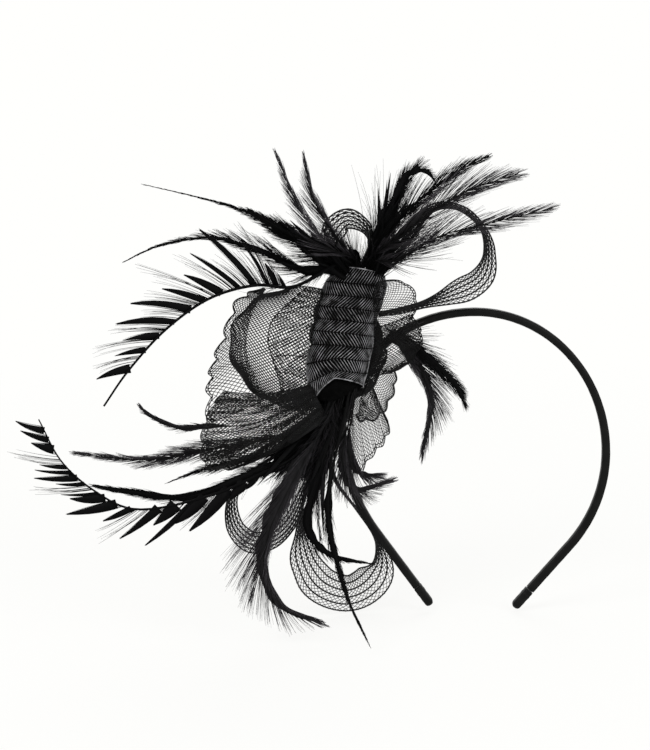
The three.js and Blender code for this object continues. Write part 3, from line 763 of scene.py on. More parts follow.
@dataclass
class Knot:
    """The rolled crinoline tube that the flower is gathered through."""

    top: tuple[float, float, float] = (-55, -8, 22)
    foot: tuple[float, float, float] = (-63, -28, -27)
    flatness: float = 0.78
    wall: float = 2.4
    inner_wall: float = 2.0
    inner_drop: float = 10.0
    inner_setback: float = 5.0
    inner_flare: float = 1.6
    layer_gap: float = 0.5
    binding_half: float = 9.0
    gap: float = 0.3
    slot_spread: float = 0.95
    profile: tuple[tuple[float, float], ...] = (
        (0, 15.4), (0.12, 16.6), (0.38, 18), (0.65, 17.5), (0.88, 15), (1, 13))
    row: float = 5.4  # height of one row of the herringbone
    bar: float = 1.55  # spacing of its bars
    dip: float = 11.0  # how far the outer wrap's lower rim hangs down on the left
    mouth: float = 7.0  # how far the inner wrap's lower rim rises on the right
    lining: float = 0.8  # thickness of the inner wrap's cloth
    tuck: float = 0.33  # how far the roll is drawn in on its right, below its top

    def __post_init__(self) -> None:
        """Works out the knot's own frame: across, back and up."""
        top, foot = np.array(self.top, float), np.array(self.foot, float)
        self.length = float(np.linalg.norm(top - foot))
        self.half = self.length / 2
        up = unit(top - foot)
        back = across(np.array([0.0, 1.0, 0.0]), up)
        self.axes = np.stack([np.cross(back, up), back, up])
        self.middle = (top + foot) / 2
        self.low = -self.half - self.inner_drop

    def place(self, x: Array, y: Array, h: Array) -> Array:
        """Places of the knot's frame, in the part's frame."""
        own = np.stack(np.broadcast_arrays(np.asarray(x, float), y, h), axis=-1)
        return own @ self.axes + self.middle

    def radius(self, h: Array) -> Array:
        """Half width at a height: the profile's stations joined by eased steps."""
        share = np.clip(np.asarray(h, float) / self.length + 0.5, 0, 1)
        at, wide = np.array(self.profile).T
        k = np.clip(np.searchsorted(at, share), 1, len(at) - 1)
        return lerp(wide[k - 1], wide[k], smooth((share - at[k - 1]) / (at[k] - at[k - 1])))

    def drawn(self, angle: Array, h: Array) -> Array:
        """A factor on half widths: the roll is drawn in on its right, where the petals are sewn."""
        share = np.asarray(h, float) / self.length + 0.5
        return 1 - self.tuck * np.clip(np.cos(angle), 0, 1) * smooth((0.98 - share) / 0.4)

    def skin(self, h: Array) -> Array:
        """Half width of the inner wrap, which flares below the outer one."""
        below = np.clip((-self.half - h) / self.inner_drop, 0, 1)
        return self.radius(h) - self.wall - self.layer_gap / self.flatness + self.inner_flare * below

    def round(self, angle: Array, radius: Array, h: Array) -> Array:
        """Places on a flattened ring: angle 0 is across, a quarter turn on is back."""
        radius = radius * self.drawn(angle, h)
        return self.place(radius * np.cos(angle), self.flatness * radius * np.sin(angle), h)

    def folds(self, angle: Array, h: Array) -> Array:
        """How far the outer wrap stands out: arcs of gathered cloth, deepest on the left.

        Each fold is a half sine cut off sharply at its lower edge, and its line drops towards
        the front, so that the folds read as overlapping arcs.
        """
        left = np.clip(-np.cos(angle + 0.35), 0, 1) ** 1.2
        slant = h / 10.5 + 0.3 * np.sin(angle + 0.9)
        saw = slant - np.floor(slant)
        arc = np.sin(np.pi * saw**0.75)
        return (0.3 + 1.9 * left) * arc * 0.8 - 0.4

    def rolled(self, angle: Array, h: Array, inset: float) -> Array:
        """Places at a depth under the outer wrap's skin.

        Its rows sag towards the front and rise on the left. Its lower rim hangs down on the
        left, where it also curls in under the roll.

        Args:
            angle: round the roll; 0 is across and a quarter turn on is back.
            h: height in the roll's frame.
            inset: depth under the skin.

        Returns:
            Places in the part's frame.
        """
        share = np.asarray(h, float) / self.length + 0.5
        left = np.clip(-np.cos(angle + 0.3), 0, 1)
        sag = (2.4 * np.clip(-np.sin(angle), 0,
                1) - 1.2 * np.cos(angle)) * smooth(share / 0.15) * smooth((1 - share) / 0.15)
        hang = self.dip * left * (1 - smooth(share / 0.4))
        curl = 1 - 0.3 * left * (1 - smooth(share / 0.14))
        wide = (self.radius(h) - 0.5) * curl + self.folds(angle, h) - inset
        return self.round(angle, wide, h - sag - hang)

    def lined(self, angle: Array, h: Array, inset: float) -> Array:
        """Places at a depth under the inner wrap's skin, which has soft upright pleats.

        Its lower rim draws in, and rises on the right into the mouth that the stems leave by.
        """
        up = np.asarray(h, float) - self.low
        pleat = (0.25 * np.sin(9 * angle) + 0.15 * np.sin(17 * angle + 1)) * np.clip(1 - up / 25, 0, 1)
        curl = 1 - 0.28 * (1 - smooth(up / 7))
        rise = self.mouth * np.clip(np.cos(angle + 0.3), 0, 1) * (1 - smooth(up / 12))
        return self.round(angle, (self.skin(h) - 0.3 - inset + pleat) * curl, h + rise)

    def outer_surface(self, s: Array, t: Array) -> Array:
        """The outer wrap's skin: s in millimetres round it from the back, t up from its foot."""
        return self.rolled(np.pi / 2 + s / 16.0, t - self.half, 0.0)

    def inner_surface(self, s: Array, t: Array) -> Array:
        """The inner wrap's skin: s in millimetres round it from the back, t up from its foot."""
        return self.lined(np.pi / 2 + s / 14.0, self.low + t, 0.0)

    def build(self) -> None:
        """Makes the outer wrap with its herringbone, the inner wrap and the bound stems."""
        around = 2 * np.pi * 16.0
        base = Mould()
        self.ring(base, self.rolled, (0.05, self.wall - 0.5), (-self.half + 0.2, self.half - 0.2), (144, 110))
        wrap = base.make("knot_roll", KNOT_CLOTH)
        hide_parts("knot_outer_wrap")
        lines = Mould()
        self.herringbone(lines, around)
        for t in (0.3, self.length - 0.3):
            edge = np.linspace(0, around, 90)
            run = self.outer_surface(edge, np.full_like(edge, t))
            strands(lines, run[None], 0.24, self.axes[2], sides=5)
        # these bars and rim threads carry painted light in their grey to near-white colour
        piece = lines.make("knot_herringbone", KNOT_THREAD_PAINTED_LIGHT)

        lining = Mould()
        self.ring(lining, self.lined, (0.05, self.lining), (self.low + 0.2, self.half - self.inner_setback),
                (120, 70))
        Net(pitch=1.5, thread=0.1, lift=0.06).weave(lining, self.inner_surface, (2 * np.pi * 14.0, 20.0))
        inner = lining.make("knot_lining", KNOT_CLOTH)
        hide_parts("knot_inner_wrap")
        self.bind()

    def ring(
        self, mould: Mould, skin: Callable[[Array, Array, float], Array],
        depths: tuple[float, float], ends: tuple[float, float], cells: tuple[int, int],
    ) -> None:
        """Adds a closed tube wall between two depths under a skin.

        Args:
            mould: takes the wall.
            skin: sends an angle, a height and a depth to a place.
            depths: the depths of the wall's outer and inner faces.
            ends: the heights that it runs between.
            cells: divisions round it and up it.
        """
        around, steps = cells
        angle = np.linspace(0, 2 * np.pi, around, endpoint=False)
        h = np.linspace(*ends, steps)
        out, back = (skin(*np.meshgrid(angle, run, indexing="ij"), depth) for run, depth in zip((h, h[::-1]),
                depths))
        index = np.arange(around * 2 * steps).reshape(around, 2 * steps)
        right, above = np.roll(index, -1, 0), np.roll(index, -1, 1)
        faces = np.stack([index, right, np.roll(right, -1, 1), above], axis=-1).reshape(-1, 4)
        mould.add(np.concatenate([out, back], axis=1), [faces])

    def herringbone(self, mould: Mould, around: float) -> None:
        """Rows of slanting bars, each row leaning the other way from the last.

        A bar is a short rod laid on the skin. Bar k of row r starts k spacings round the knot,
        and leans half a row's height to one side on even rows and to the other on odd ones.

        Args:
            mould: takes the bars.
            around: how far it is round the knot, in the surface's flat millimetres.
        """
        rows = int(self.length / self.row)
        bars = int(around / self.bar)
        row, k = np.meshgrid(np.arange(rows), np.arange(bars), indexing="ij")
        along = np.linspace(0.04, 0.96, 6)
        lean = np.where(row % 2 == 0, 1.0, -1.0)[..., None]
        s = (k[..., None] + 0.5) * around / bars + lean * (along - 0.5) * self.row * 0.95
        t = (row[..., None] + along) * self.length / rows
        s, t = s.reshape(-1, 6), t.reshape(-1, 6)
        normal = facing(self.outer_surface, s, t)
        taper = 0.13 * np.sin(np.pi * np.linspace(0.12, 0.88, 6)) ** 0.5
        strands(mould, self.outer_surface(s, t) + normal * 0.05, taper, normal, flat=1.0)

    def bind(self) -> None:
        """The bound stems: a plug wound with thread, each turn a shallow ridge."""

        def skin(h: Array) -> Array:
            """The bundle's radius at a height."""
            return self.skin(h) - self.inner_wall - self.layer_gap / self.flatness

        turns = 22
        a = np.linspace(0, 2 * np.pi, 72, endpoint=False)
        h = np.linspace(-self.binding_half, self.binding_half, turns * 6)
        grid, up = np.meshgrid(a, h, indexing="ij")
        ridge = np.abs(np.sin(np.pi * turns * up / (2 * self.binding_half) + grid / 2))
        points = self.round(grid, skin(up) - 0.5 + 0.5 * ridge, up)
        index = np.arange(grid.size).reshape(grid.shape)
        right = np.roll(index, -1, 0)
        walls = np.stack([index[:, :-1], right[:, :-1], right[:, 1:], index[:, 1:]], axis=-1).reshape(-1, 4)
        mould = Mould()
        mould.add(points, [walls, index[::-1, 0][None], index[:, -1][None]])
        piece = mould.make("bound_stems", WOUND)
        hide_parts("stem_binding")

    def from_top(self, slot: tuple[float, float], *points: tuple[float, float, float]) -> Array:
        """A stem's route: from its slot on the binding's top, out of the knot, through the points."""
        return self.route(slot, self.binding_half + self.gap, self.half + 3, points)

    def from_foot(self, slot: tuple[float, float], *points: tuple[float, float, float]) -> Array:
        """A stem's route from the binding's lower face."""
        return self.route(slot, -self.binding_half - self.gap, self.low - 2, points)

    def route(self, slot: tuple[float, float], start: float, leave: float,
              points: Sequence[tuple[float, float, float]]) -> Array:
        """Two places inside the knot, then the points."""
        x, y = slot
        inner = [self.place(x, y, start), self.place(x * self.slot_spread, y * self.slot_spread, leave)]
        return np.vstack([*inner, *np.array(points, float)])


KNOT = Knot()


# ---------------------------------------------------------------- petals


@dataclass(frozen=True)
class Petal:
    """A crinoline petal, gathered at its root and scalloped at its rim."""

    node: str
    root: tuple[tuple[float, float, float], ...]
    rim: tuple[tuple[float, float, float], ...]
    bulge: tuple[float, float, float]
    scallops: int
    scallop: float = 2.0  # how far a scallop stands out
    ripple: float = 1.6  # depth of the pleats at the rim
    layers: int = 1
    lined: float = 1.0  # share of the width that the second layer covers
    pleats: int = 0  # fine gathers that run in from the root
    ribs: int = 0  # lines of gathered thread from root to rim
    pitch: float = 1.25
    thread: float = 0.16
    rounded: float = 0.85  # share of the cut that is left once its corners are rounded off

    def size(self) -> tuple[float, float]:
        """Flat width along the rim, and length from root to rim."""
        inner, outer = (Spline(np.array(p, float)).at(np.linspace(0, 1, 40)) for p in (self.root, self.rim))
        return Spline(np.array(self.rim, float)).length(), float(np.linalg.norm(outer - inner, axis=1).mean())

    def surface(self) -> Surface:
        """The petal's shape.

        A straight line runs from root to rim at each share u round them. The bulge is added as a
        half sine from root to rim. Near the rim the line is lengthened by the size of a sine's
        half waves, one for each scallop, and the cloth swings in depth once for each scallop.
        """
        inner, outer = Spline(np.array(self.root, float)), Spline(np.array(self.rim, float))
        width, length = self.size()
        puff = np.array(self.bulge, float)

        def shape(s: Array, t: Array) -> Array:
            """Sends flat places to the part's frame."""
            u, v = (np.clip(a, -0.02, 1.02) for a in (s / width, t / length))
            start, end = inner.at(u), outer.at(u)
            out = unit(end - start)
            full = np.sqrt(np.sin(np.pi * (0.08 + 0.84 * np.clip(u, 0, 1))))
            wave = np.pi * self.scallops * u
            scallop = self.scallop * (np.abs(np.sin(wave)) ** 0.75 - 0.6) * np.clip(v, 0, 1) ** 4
            swing = self.ripple * np.cos(2 * wave + 0.8) * np.clip(v, 0, 1) ** 2
            gather = 0.5 * np.sin(2 * np.pi * self.pleats * u) * np.clip(1.05 - v, 0, 1)
            place = start + (end - start) * v[..., None]
            place = place + puff * (np.sin(np.pi * np.clip(v, 0, 1)) * full)[..., None]
            place = place + out * scallop[..., None]
            place[..., 1] += swing + gather
            return place

        return shape

    def build(self) -> None:
        """Makes the net and its rim cords."""
        shape, (width, length) = self.surface(), self.size()
        mould = Mould()
        Net(self.pitch, thread=self.thread).weave(mould, shape, (width, length))
        if self.layers > 1:
            Net(self.pitch, thread=self.thread).weave(mould, shape, (width * self.lined, length), turn=7.0,
                    offset=0.7)
        s = np.linspace(0, width, 10 * self.scallops + 20)
        rims = [np.stack([s, np.full_like(s, length * v)], axis=-1) for v in (1.0, 0.955)]
        t = np.linspace(0, length, 20)
        sides = [np.stack([np.full_like(t, k * width), t], axis=-1) for k in (0, 1)]
        cords(mould, shape, rims + sides, 0.24)
        ribs = np.linspace(0.03, 0.97, self.ribs) * width
        cords(mould, shape, [np.stack([s + 1.2 * np.sin(t / 9 + s), t], axis=-1) for s in ribs], 0.17)
        piece = mould.make(f"{self.node}_net", CRINOLINE)
        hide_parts(self.node)
        cut = (width * MM, length * MM * (1 if self.layers == 1 else 1 + self.lined))
        self.rounded * cut[0] * cut[1]


PETALS = (
    Petal("petal_lower_left", ((-77, -34, -26), (-74, -37, -33), (-70, -39, -40)),
          ((-119, -18, -33), (-125, -19, -42), (-129, -20, -56), (-127, -22, -68), (-112, -27, -67), (-86,
          -33, -50)),
          (0, -9, -3), 7, layers=2, lined=0.82, pleats=6, ribs=46, pitch=1.5),
    Petal("petal_right_top", ((-49, -22, -8), (-49, -22, 2), (-49, -21, 14)),
          ((-38, -21, -6), (-32, -23, 1), (-29, -25, 9), (-30, -26, 16), (-36, -27, 21), (-46, -26, 21)),
          (0, -4, 1), 4, scallop=1.0, ripple=0.6),
    Petal("petal_right_middle", ((-49, -22, -2), (-50, -23, -13), (-50, -25, -24)),
          ((-31, -19, 4), (-26, -18, -5), (-28, -18, -14), (-36, -18, -22)),
          (2, -3, 0), 3, layers=2, scallop=1.2),
    Petal("petal_right_lower", ((-50, -25, -20), (-52, -27, -28), (-55, -28, -35)),
          ((-38, -15, -23), (-38, -14, -31), (-41, -14, -39), (-45, -15, -45), (-52, -18, -47), (-57, -22,
          -44)),
          (2, -4, -1), 5),
    Petal("petal_right_bottom", ((-51, 4, -28), (-60, 4, -34)),
          ((-44, 6, -46), (-40, 7, -56), (-43, 8, -64), (-49, 8, -71), (-55, 7, -79), (-60, 6, -72)),
          (0, 3, 0), 6, scallop=1.8),
    Petal("ruffle_rear_left", ((-99, -2, 13), (-105, -1, 2), (-108, -1, -12), (-106, -1, -24), (-98, -2,
    -40)),
          ((-101, 2, 13), (-112, 3, 7), (-119, 4, -10), (-125, 5, -25), (-127, 5, -37), (-127, 4, -54)),
          (0, 2, 0), 7, scallop=3.6, ripple=2.2, pitch=1.5, thread=0.2),
)


@dataclass(frozen=True)
class Puff:
    """The puffed left petal: one pouch of crinoline whose edge is turned in behind it."""

    centre: tuple[float, float, float] = (-79, -7, -13)
    half: tuple[float, float, float] = (45, 24, 36)
    lean: float = 14.0
    cloth: float = 88.0  # the lower layer's side, laid flat
    wrap: float = 0.61  # how far round the pouch the cloth reaches; 1 is its widest outline
    fold: float = 0.32  # where the upper layer starts, as a share of the cloth's width
    tucked: float = 13.0  # how far its right side goes back behind the knot
    creases: tuple[float, ...] = (-0.25, 0.0, 0.22, 0.5)

    def shape(self, s: Array, t: Array) -> Array:
        """The pouch's surface.

        A square of cloth is sent to a disc (each side shortened by the root of one less half the
        other's square), and the disc to the pouch: the distance from the middle becomes an angle
        from the front. Creases are narrow ridges that fan out from the top right.

        Args:
            s: flat places across.
            t: flat places up.

        Returns:
            Places in the part's frame.
        """
        a, b = (np.clip(2 * k / self.cloth - 1, -1.02, 1.02) for k in (s, t))
        x = a * np.sqrt(1 - np.minimum(b * b, 1) / 2)
        z = b * np.sqrt(1 - np.minimum(a * a, 1) / 2)
        reach = np.hypot(x, z) + 1e-6
        angle = np.minimum(reach, 1.03) * self.wrap * np.pi / 2
        radial, front = np.sin(angle), np.cos(angle)
        fan = np.arctan2(x - 0.75, 1.35 - z)
        fold = sum(np.exp(-(((fan + 0.55 + 0.8 * c) / 0.028) ** 2)) for c in self.creases)
        swell = 1 + 0.04 * np.sin(7 * fan + 1) + 0.12 * fold * np.clip(1.1 - reach, 0, 1)
        ripple = 1 + 0.02 * np.sin(11 * np.arctan2(z, x)) * reach**3
        behind = self.tucked * smooth((x + 0.3) / 0.6)
        own = np.stack([x / reach * radial * self.half[0] * ripple,
                        behind - front * self.half[1] * swell,
                        z / reach * radial * self.half[2] * ripple], axis=-1)
        lean = math.radians(self.lean)
        turn = np.array([[math.cos(lean), 0, -math.sin(lean)], [0, 1, 0], [math.sin(lean), 0,
                math.cos(lean)]])
        return own @ turn + np.array(self.centre, float)

    def build(self) -> None:
        """Makes the pouch."""
        side = self.cloth
        size = (side, side)
        mould = Mould()

        def start(t: Array) -> Array:
            """Where the upper layer's folded edge lies: a slack S."""
            return side * (self.fold + 0.07 * np.sin(math.tau * t / side + 0.6))

        def upper(s: Array, t: Array) -> Array:
            """Sends the upper layer's flat places to the pouch."""
            return self.shape(start(t) + s * (1 - start(t) / side), t)

        Net(1.65, thread=0.26).weave(mould, self.shape, size)
        Net(1.8, thread=0.19).weave(mould, upper, size, turn=13.0, offset=0.6)
        edge = np.linspace(0, side, 60)
        none, full = edge * 0, edge * 0 + side
        waves = [side * (0.42 - 0.14 * k) + 5 * np.sin(edge / 13 + k) for k in range(3)]
        runs = [np.stack(pair, axis=-1) for pair in (
            (edge, none), (edge, full), (none, edge), (full, edge), (start(edge), edge))]
        runs += [np.stack([lerp(start(wave), side, edge / side), wave], axis=-1) for wave in waves]
        cords(mould, self.shape, runs, 0.24)
        piece = mould.make("petal_left_puff_net", CRINOLINE)
        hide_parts("petal_left_puff")


# ---------------------------------------------------------------- ribbon loops


@dataclass(frozen=True)
class Loop:
    """A loop of crinoline braid. Each stop is (tilt in degrees, x, y, z)."""

    node: str
    width: float
    root_width: float
    gather: float
    turns_left: bool
    stops: tuple[tuple[float, float, float, float], ...]
    cords: int = 6
    fine: int = 420

    def frames(self) -> tuple[Array, Array, float]:
        """Middle places, width vectors at full width, and the loop's length.

        The width turns from the depth direction towards the loop's outside by the tilt, and it
        closes to the root's width near both ends.
        """
        stops = np.array(self.stops, float)
        path, spans = Spline(stops[:, 1:]), len(stops) - 1
        t = np.linspace(0, 1, self.fine)
        centre, along = path.at(t), path.slope(t)
        depth = np.array([0.0, 1.0, 0.0])
        outward = unit(np.cross(depth, along)) * (-1 if self.turns_left else 1)
        at = np.minimum((t * spans).astype(int), spans - 1)
        tilt = np.radians(lerp(stops[at, 0], stops[at + 1, 0], smooth(t * spans - at)))[:, None]
        wide = unit(across(depth, along) * np.cos(tilt) + outward * np.sin(tilt))
        open_ = smooth((np.minimum(t, 1 - t) - self.gather) / self.gather)
        return centre, wide * lerp(self.root_width, self.width, open_)[:, None], path.length()

    def build(self) -> None:
        """Makes the braid's cords and its diagonal mesh."""
        centre, wide, length = self.frames()
        run = lengths_along(centre)
        normal = unit(np.cross(np.gradient(centre, axis=0), wide))

        def shape(s: Array, t: Array) -> Array:
            """Sends flat places to the ribbon: s across, t along, with a slight cup across."""
            place, broad, up = (read_at(t, run, values) for values in (centre, wide, normal))
            part = (s / self.width - 0.5)[..., None]
            cup = 0.05 * (1 - 4 * part**2)
            return place + broad * part + up * cup * self.width

        mould = Mould()
        size = (self.width, float(run[-1]))
        Net(pitch=1.35, bias=38, thread=0.16, lift=0.1).weave(mould, shape, size)
        t = np.linspace(0, run[-1], int(run[-1] / 1.1))
        places = np.linspace(0.02, 0.98, self.cords) * self.width
        cords(mould, shape, [np.stack([np.full_like(t, s), t], axis=-1) for s in places], 0.38)
        piece = mould.make(f"{self.node}_braid", BRAID)
        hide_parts(self.node)
        size[0] * MM
        size[1] * MM


def knot_stop(tilt: float, x: float, y: float, h: float) -> tuple[float, float, float, float]:
    """A loop's stop given in the knot's own frame."""
    return (tilt, *KNOT.place(x, y, h))


TOP_SLOT, TOP_EXIT = KNOT.binding_half + KNOT.gap, KNOT.half + 3
LOW_SLOT, LOW_EXIT = -TOP_SLOT, KNOT.low - 2

LOOPS = (
    Loop("crin_loop_top", 15, 3.6, 0.2, False, (
        knot_stop(0, -2.8, 4.2, TOP_SLOT), knot_stop(10, -2.2, 4.6, TOP_EXIT), (50, -69, -11, 33),
        (55, -67, -10, 42), (50, -61, -9, 47), (35, -54, -8, 44), (15, -50, -6, 36),
        knot_stop(5, 0.2, 3.4, TOP_EXIT), knot_stop(0, 0.4, 4.2, TOP_SLOT))),
    Loop("crin_loop_right", 16, 4, 0.13, True, (
        (20, -46, -8, 2), (35, -34, -7, 4), (45, -13, -8, 11), (35, 2, -7, 19), (15, 6, -4, 31), (10, 3, -2,
        42),
        (15, -7, 0, 51), (20, -19, 0, 52), (20, -31, 0, 44),
        knot_stop(10, 4.2, 3.6, TOP_EXIT), knot_stop(0, 4.8, 4.2, TOP_SLOT))),
    Loop("crin_loop_lower_left", 14, 5, 0.13, False, (
        knot_stop(0, 0.6, 5, LOW_SLOT), knot_stop(5, 0.6, 4.4, LOW_EXIT), (15, -79, -33, -72), (20, -87, -31,
        -92),
        (25, -96, -26, -102), (30, -106, -20, -105), (25, -114, -13, -99), (20, -115, -9, -87),
        (15, -106, -7, -75), (10, -88, -11, -61), knot_stop(5, -4, 5, LOW_EXIT), knot_stop(0, -3.6, 5,
        LOW_SLOT))),
    Loop("crin_loop_bottom", 18, 5, 0.13, True, (
        knot_stop(0, 5, 5, LOW_SLOT), knot_stop(5, 4.6, 4.6, LOW_EXIT), (10, -76, -16, -80), (15, -83, -13,
        -100),
        (45, -81, -12, -117), (75, -73, -9, -130), (82, -60, -4, -136), (70, -49, 4, -133), (25, -43, 12,
        -124),
        (10, -46, 15, -113), (10, -55, 15, -99), (5, -66, 12, -83), (0, -70, 4, -66), (0, -69, -6, -50),
        (0, -63, -9, -34))),
)


# ---------------------------------------------------------------- feathers


class Plumage(Enum):
    """How a feather's barbs stand: in groups of so many, drawn together by a share at their tips."""

    HACKLE = (5, 0.5, 0.1)  # sleek, barbs close along the shaft
    STRIPPED = (10, 0.92, 0.5)  # bare shaft with pointed clusters along its outer side
    WISP = (4, 0.4, 0.6)  # sparse hair-fine barbs

    def __init__(self, group: int, drawn: float, least: float) -> None:
        """Keeps the group's size, how far its tips close up, and the shortest barb's share of the vane."""
        self.group, self.drawn, self.least = group, drawn, least


@dataclass(frozen=True)
class Feather:
    """One feather: its shaft and its barbs."""

    node: str
    path: Array
    vane: float  # how far its barbs reach each side
    lean: float = 0.0  # -1 to 1: which side has the longer barbs
    start: float = 0.3  # share of the shaft where the vane opens
    kind: Plumage = Plumage.HACKLE
    barbs: int = 230
    sweep: float = 17.0
    stem: float = 0.55  # the shaft's radius at its root
    finish: FeatherFinish = BLACK_FEATHER
    core: float = 0.34  # half width of the close vane at the shaft, as a share of the barbs' reach
    bare: float = 1.0  # share of the shaft past which it has no barbs
    fade: float = 1.3  # how fast the vane narrows to the tip; above 1 leaves a thin end
    loose: int = 2  # in a stripped feather, one group in this many stands open
    turn: tuple[float, float] = (1.35, 0.8)  # factors on the sweep at the vane's start and end
    point: float = 0.1  # the shaft's radius at its tip
    seed: int = 0

    def frames(self, t: Array) -> tuple[Array, Array, Array, Array]:
        """Places, tangents, width vectors and face vectors along the shaft."""
        path = Spline(self.path)
        centre, along = path.at(t), path.slope(t)
        wide = unit(np.cross(along, [0.0, 1.0, 0.0]))
        return centre, along, wide, unit(np.cross(along, wide))

    def reach(self, t: Array) -> Array:
        """The vane's half width: it opens quickly, then closes to the tip along a soft curve."""
        grown = np.clip((t - self.start) / (self.bare - self.start), 0, 1)
        return self.vane * (0.05 + 0.95 * smooth(0.25 + grown / 0.25) * (1 - grown) ** self.fade)

    def shaft(self, mould: Mould) -> None:
        """A round shaft that tapers from its root to its tip."""
        t = np.linspace(0, 1, 60)
        centre, _, wide, _ = self.frames(t)
        strands(mould, centre[None], lerp(self.stem, self.point, t**0.9)[None], wide[None], sides=6)

    def blade(self, mould: Mould) -> None:
        """The close part of the vane: a thin closed strip with a ragged edge."""
        t = np.linspace(self.start, min(0.97, self.bare), 90)
        centre, along, wide, face = self.frames(t)
        ragged = 1 + 0.12 * np.sin(t * 61 + self.seed) + 0.1 * np.sin(t * 37 + 2 * self.seed)
        half = self.core * self.reach(t) * ragged
        left = centre - wide * (half * (1 - 0.6 * self.lean))[:, None]
        right = centre + wide * (half * (1 + 0.6 * self.lean))[:, None]
        skin = face * 0.13
        rings = np.stack([left, centre + skin, right, centre - skin], axis=1)
        index = np.arange(rings.shape[0] * 4).reshape(-1, 4)
        low, high = index[:-1], index[1:]
        walls = ring_walls(low, high)
        mould.add(rings, [walls, index[0][::-1][None], index[-1][None]], 0.1)

    def plume(self, mould: Mould) -> None:
        """The barbs.

        A barb leaves the shaft at the sweep angle, bends forward with the square of its length,
        and strays by seeded random amounts in angle, length and out of the vane's plane. In a
        stripped feather neighbouring barbs are drawn together at their tips into points.
        """
        rng = np.random.default_rng(self.seed + 11)
        stripped, wisp = self.kind is Plumage.STRIPPED, self.kind is Plumage.WISP
        sides = (1.0,) if stripped else (-1.0, 1.0)
        for side in sides:
            side = -1.0 if stripped and self.lean < 0 else side
            count = self.barbs
            t = np.sort(self.start + (self.bare - self.start) * rng.uniform(0.0, 0.985, count))
            group = np.arange(count) // self.kind.group
            drawn = np.full(count, self.kind.drawn)
            if stripped:
                drawn[group % self.loose == self.loose - 1] = 0.2
            centre, along, wide, face = self.frames(t)
            length = self.reach(t) * (1 + side * self.lean * 0.6) / math.sin(math.radians(self.sweep))
            length = np.maximum(length, self.vane * self.kind.least) * rng.uniform(0.72, 1.18, count)
            if stripped:
                length = length * (0.85 + 0.25 * np.sin(group * 2.4))
            angle = np.radians(self.sweep * lerp(*self.turn, (t - self.start) / (1 - self.start)))
            angle = angle * (1 if stripped else rng.uniform(0.7, 1.3, count))
            q = np.linspace(0, 1, 6)[None, :, None]
            forward = along * np.cos(angle)[:, None] + side * wide * np.sin(angle)[:, None]
            stray = rng.normal(0, 0.05 if not wisp else 0.16, (count, 1)) * face
            bend = along * 0.12 - side * wide * 0.08 + stray + rng.normal(0, 0.05, (count, 1)) * wide
            span = length[:, None, None]
            lines = centre[:, None] + span * (q * forward[:, None] + q * q * bend[:, None])
            if wisp:
                phase = rng.uniform(0, 6.3, (count, 1, 1))
                lines = lines + 0.06 * span * np.sin(5 * q + phase) * q * wide[:, None]
            tips = lines[:, -1]
            heart = np.stack([np.bincount(group, tips[:, k]) for k in range(3)], axis=-1)
            heart = heart / np.bincount(group)[:, None]
            lines = lines + (drawn[:, None] * (heart[group] - tips))[:, None] * q * q
            if stripped:
                self.webs(mould, lines, group, drawn, along)
            root = 0.17 if not wisp else 0.12
            thick = root * (1 - 0.72 * q[..., 0]) * rng.uniform(0.7, 1.2, (count, 1))
            strands(mould, lines, thick, wide[:, None], sides=3, tone=q[..., 0], flat=0.7)

    def webs(self, mould: Mould, lines: Array, group: Array, drawn: Array, along: Array) -> None:
        """The close web of each drawn group: a thin dart from the shaft to the group's tip.

        A dart's middle line is halfway between its group's first and last barbs, and its half
        width is half the way between them.

        Args:
            mould: takes the webs.
            lines: the barbs as (barbs, points, 3).
            group: each barb's group number.
            drawn: how far each barb's tip closes up.
            along: the shaft's direction at each barb.
        """
        first = np.searchsorted(group, np.arange(group[-1] + 1))
        last = np.append(first[1:], len(group)) - 1
        close = drawn[first] > 0.5
        one, two = lines[first[close]], lines[last[close]]
        half = np.linalg.norm(two - one, axis=-1) * 0.42 + 0.06
        strands(mould, (one + two) / 2, half, along[first[close]][:, None], sides=6, tone=0.15, flat=0.05)

    def down(self, mould: Mould) -> None:
        """Soft curled down at the foot of the vane, where it leaves the knot."""
        rng = np.random.default_rng(self.seed + 211)
        count = self.barbs // 4
        t = rng.uniform(0.12, self.start + 0.05, count)
        centre, along, wide, face = self.frames(t)
        way = rng.normal(0, 1, (count, 2))
        out = unit(along * 3.0 + wide * way[:, :1] + face * way[:, 1:] * 0.7)
        q = np.linspace(0, 1, 6)[None, :, None]
        span = (self.vane * rng.uniform(0.5, 1.3, count))[:, None, None]
        curl = np.sin(4 * q + rng.uniform(0, 6.3, (count, 1, 1))) * 0.12 * wide[:, None]
        lines = centre[:, None] + span * (q * out[:, None] + curl * q)
        strands(mould, lines, 0.14 * (1 - 0.7 * q[..., 0]), wide[:, None], sides=3, tone=0.4 * q[..., 0])

    def build(self) -> None:
        """Makes the feather."""
        mould = Mould()
        self.shaft(mould)
        if self.core > 0:
            self.blade(mould)
        self.plume(mould)
        self.down(mould)
        piece = mould.make(f"{self.node}_plume", self.finish)
        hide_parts(self.node)


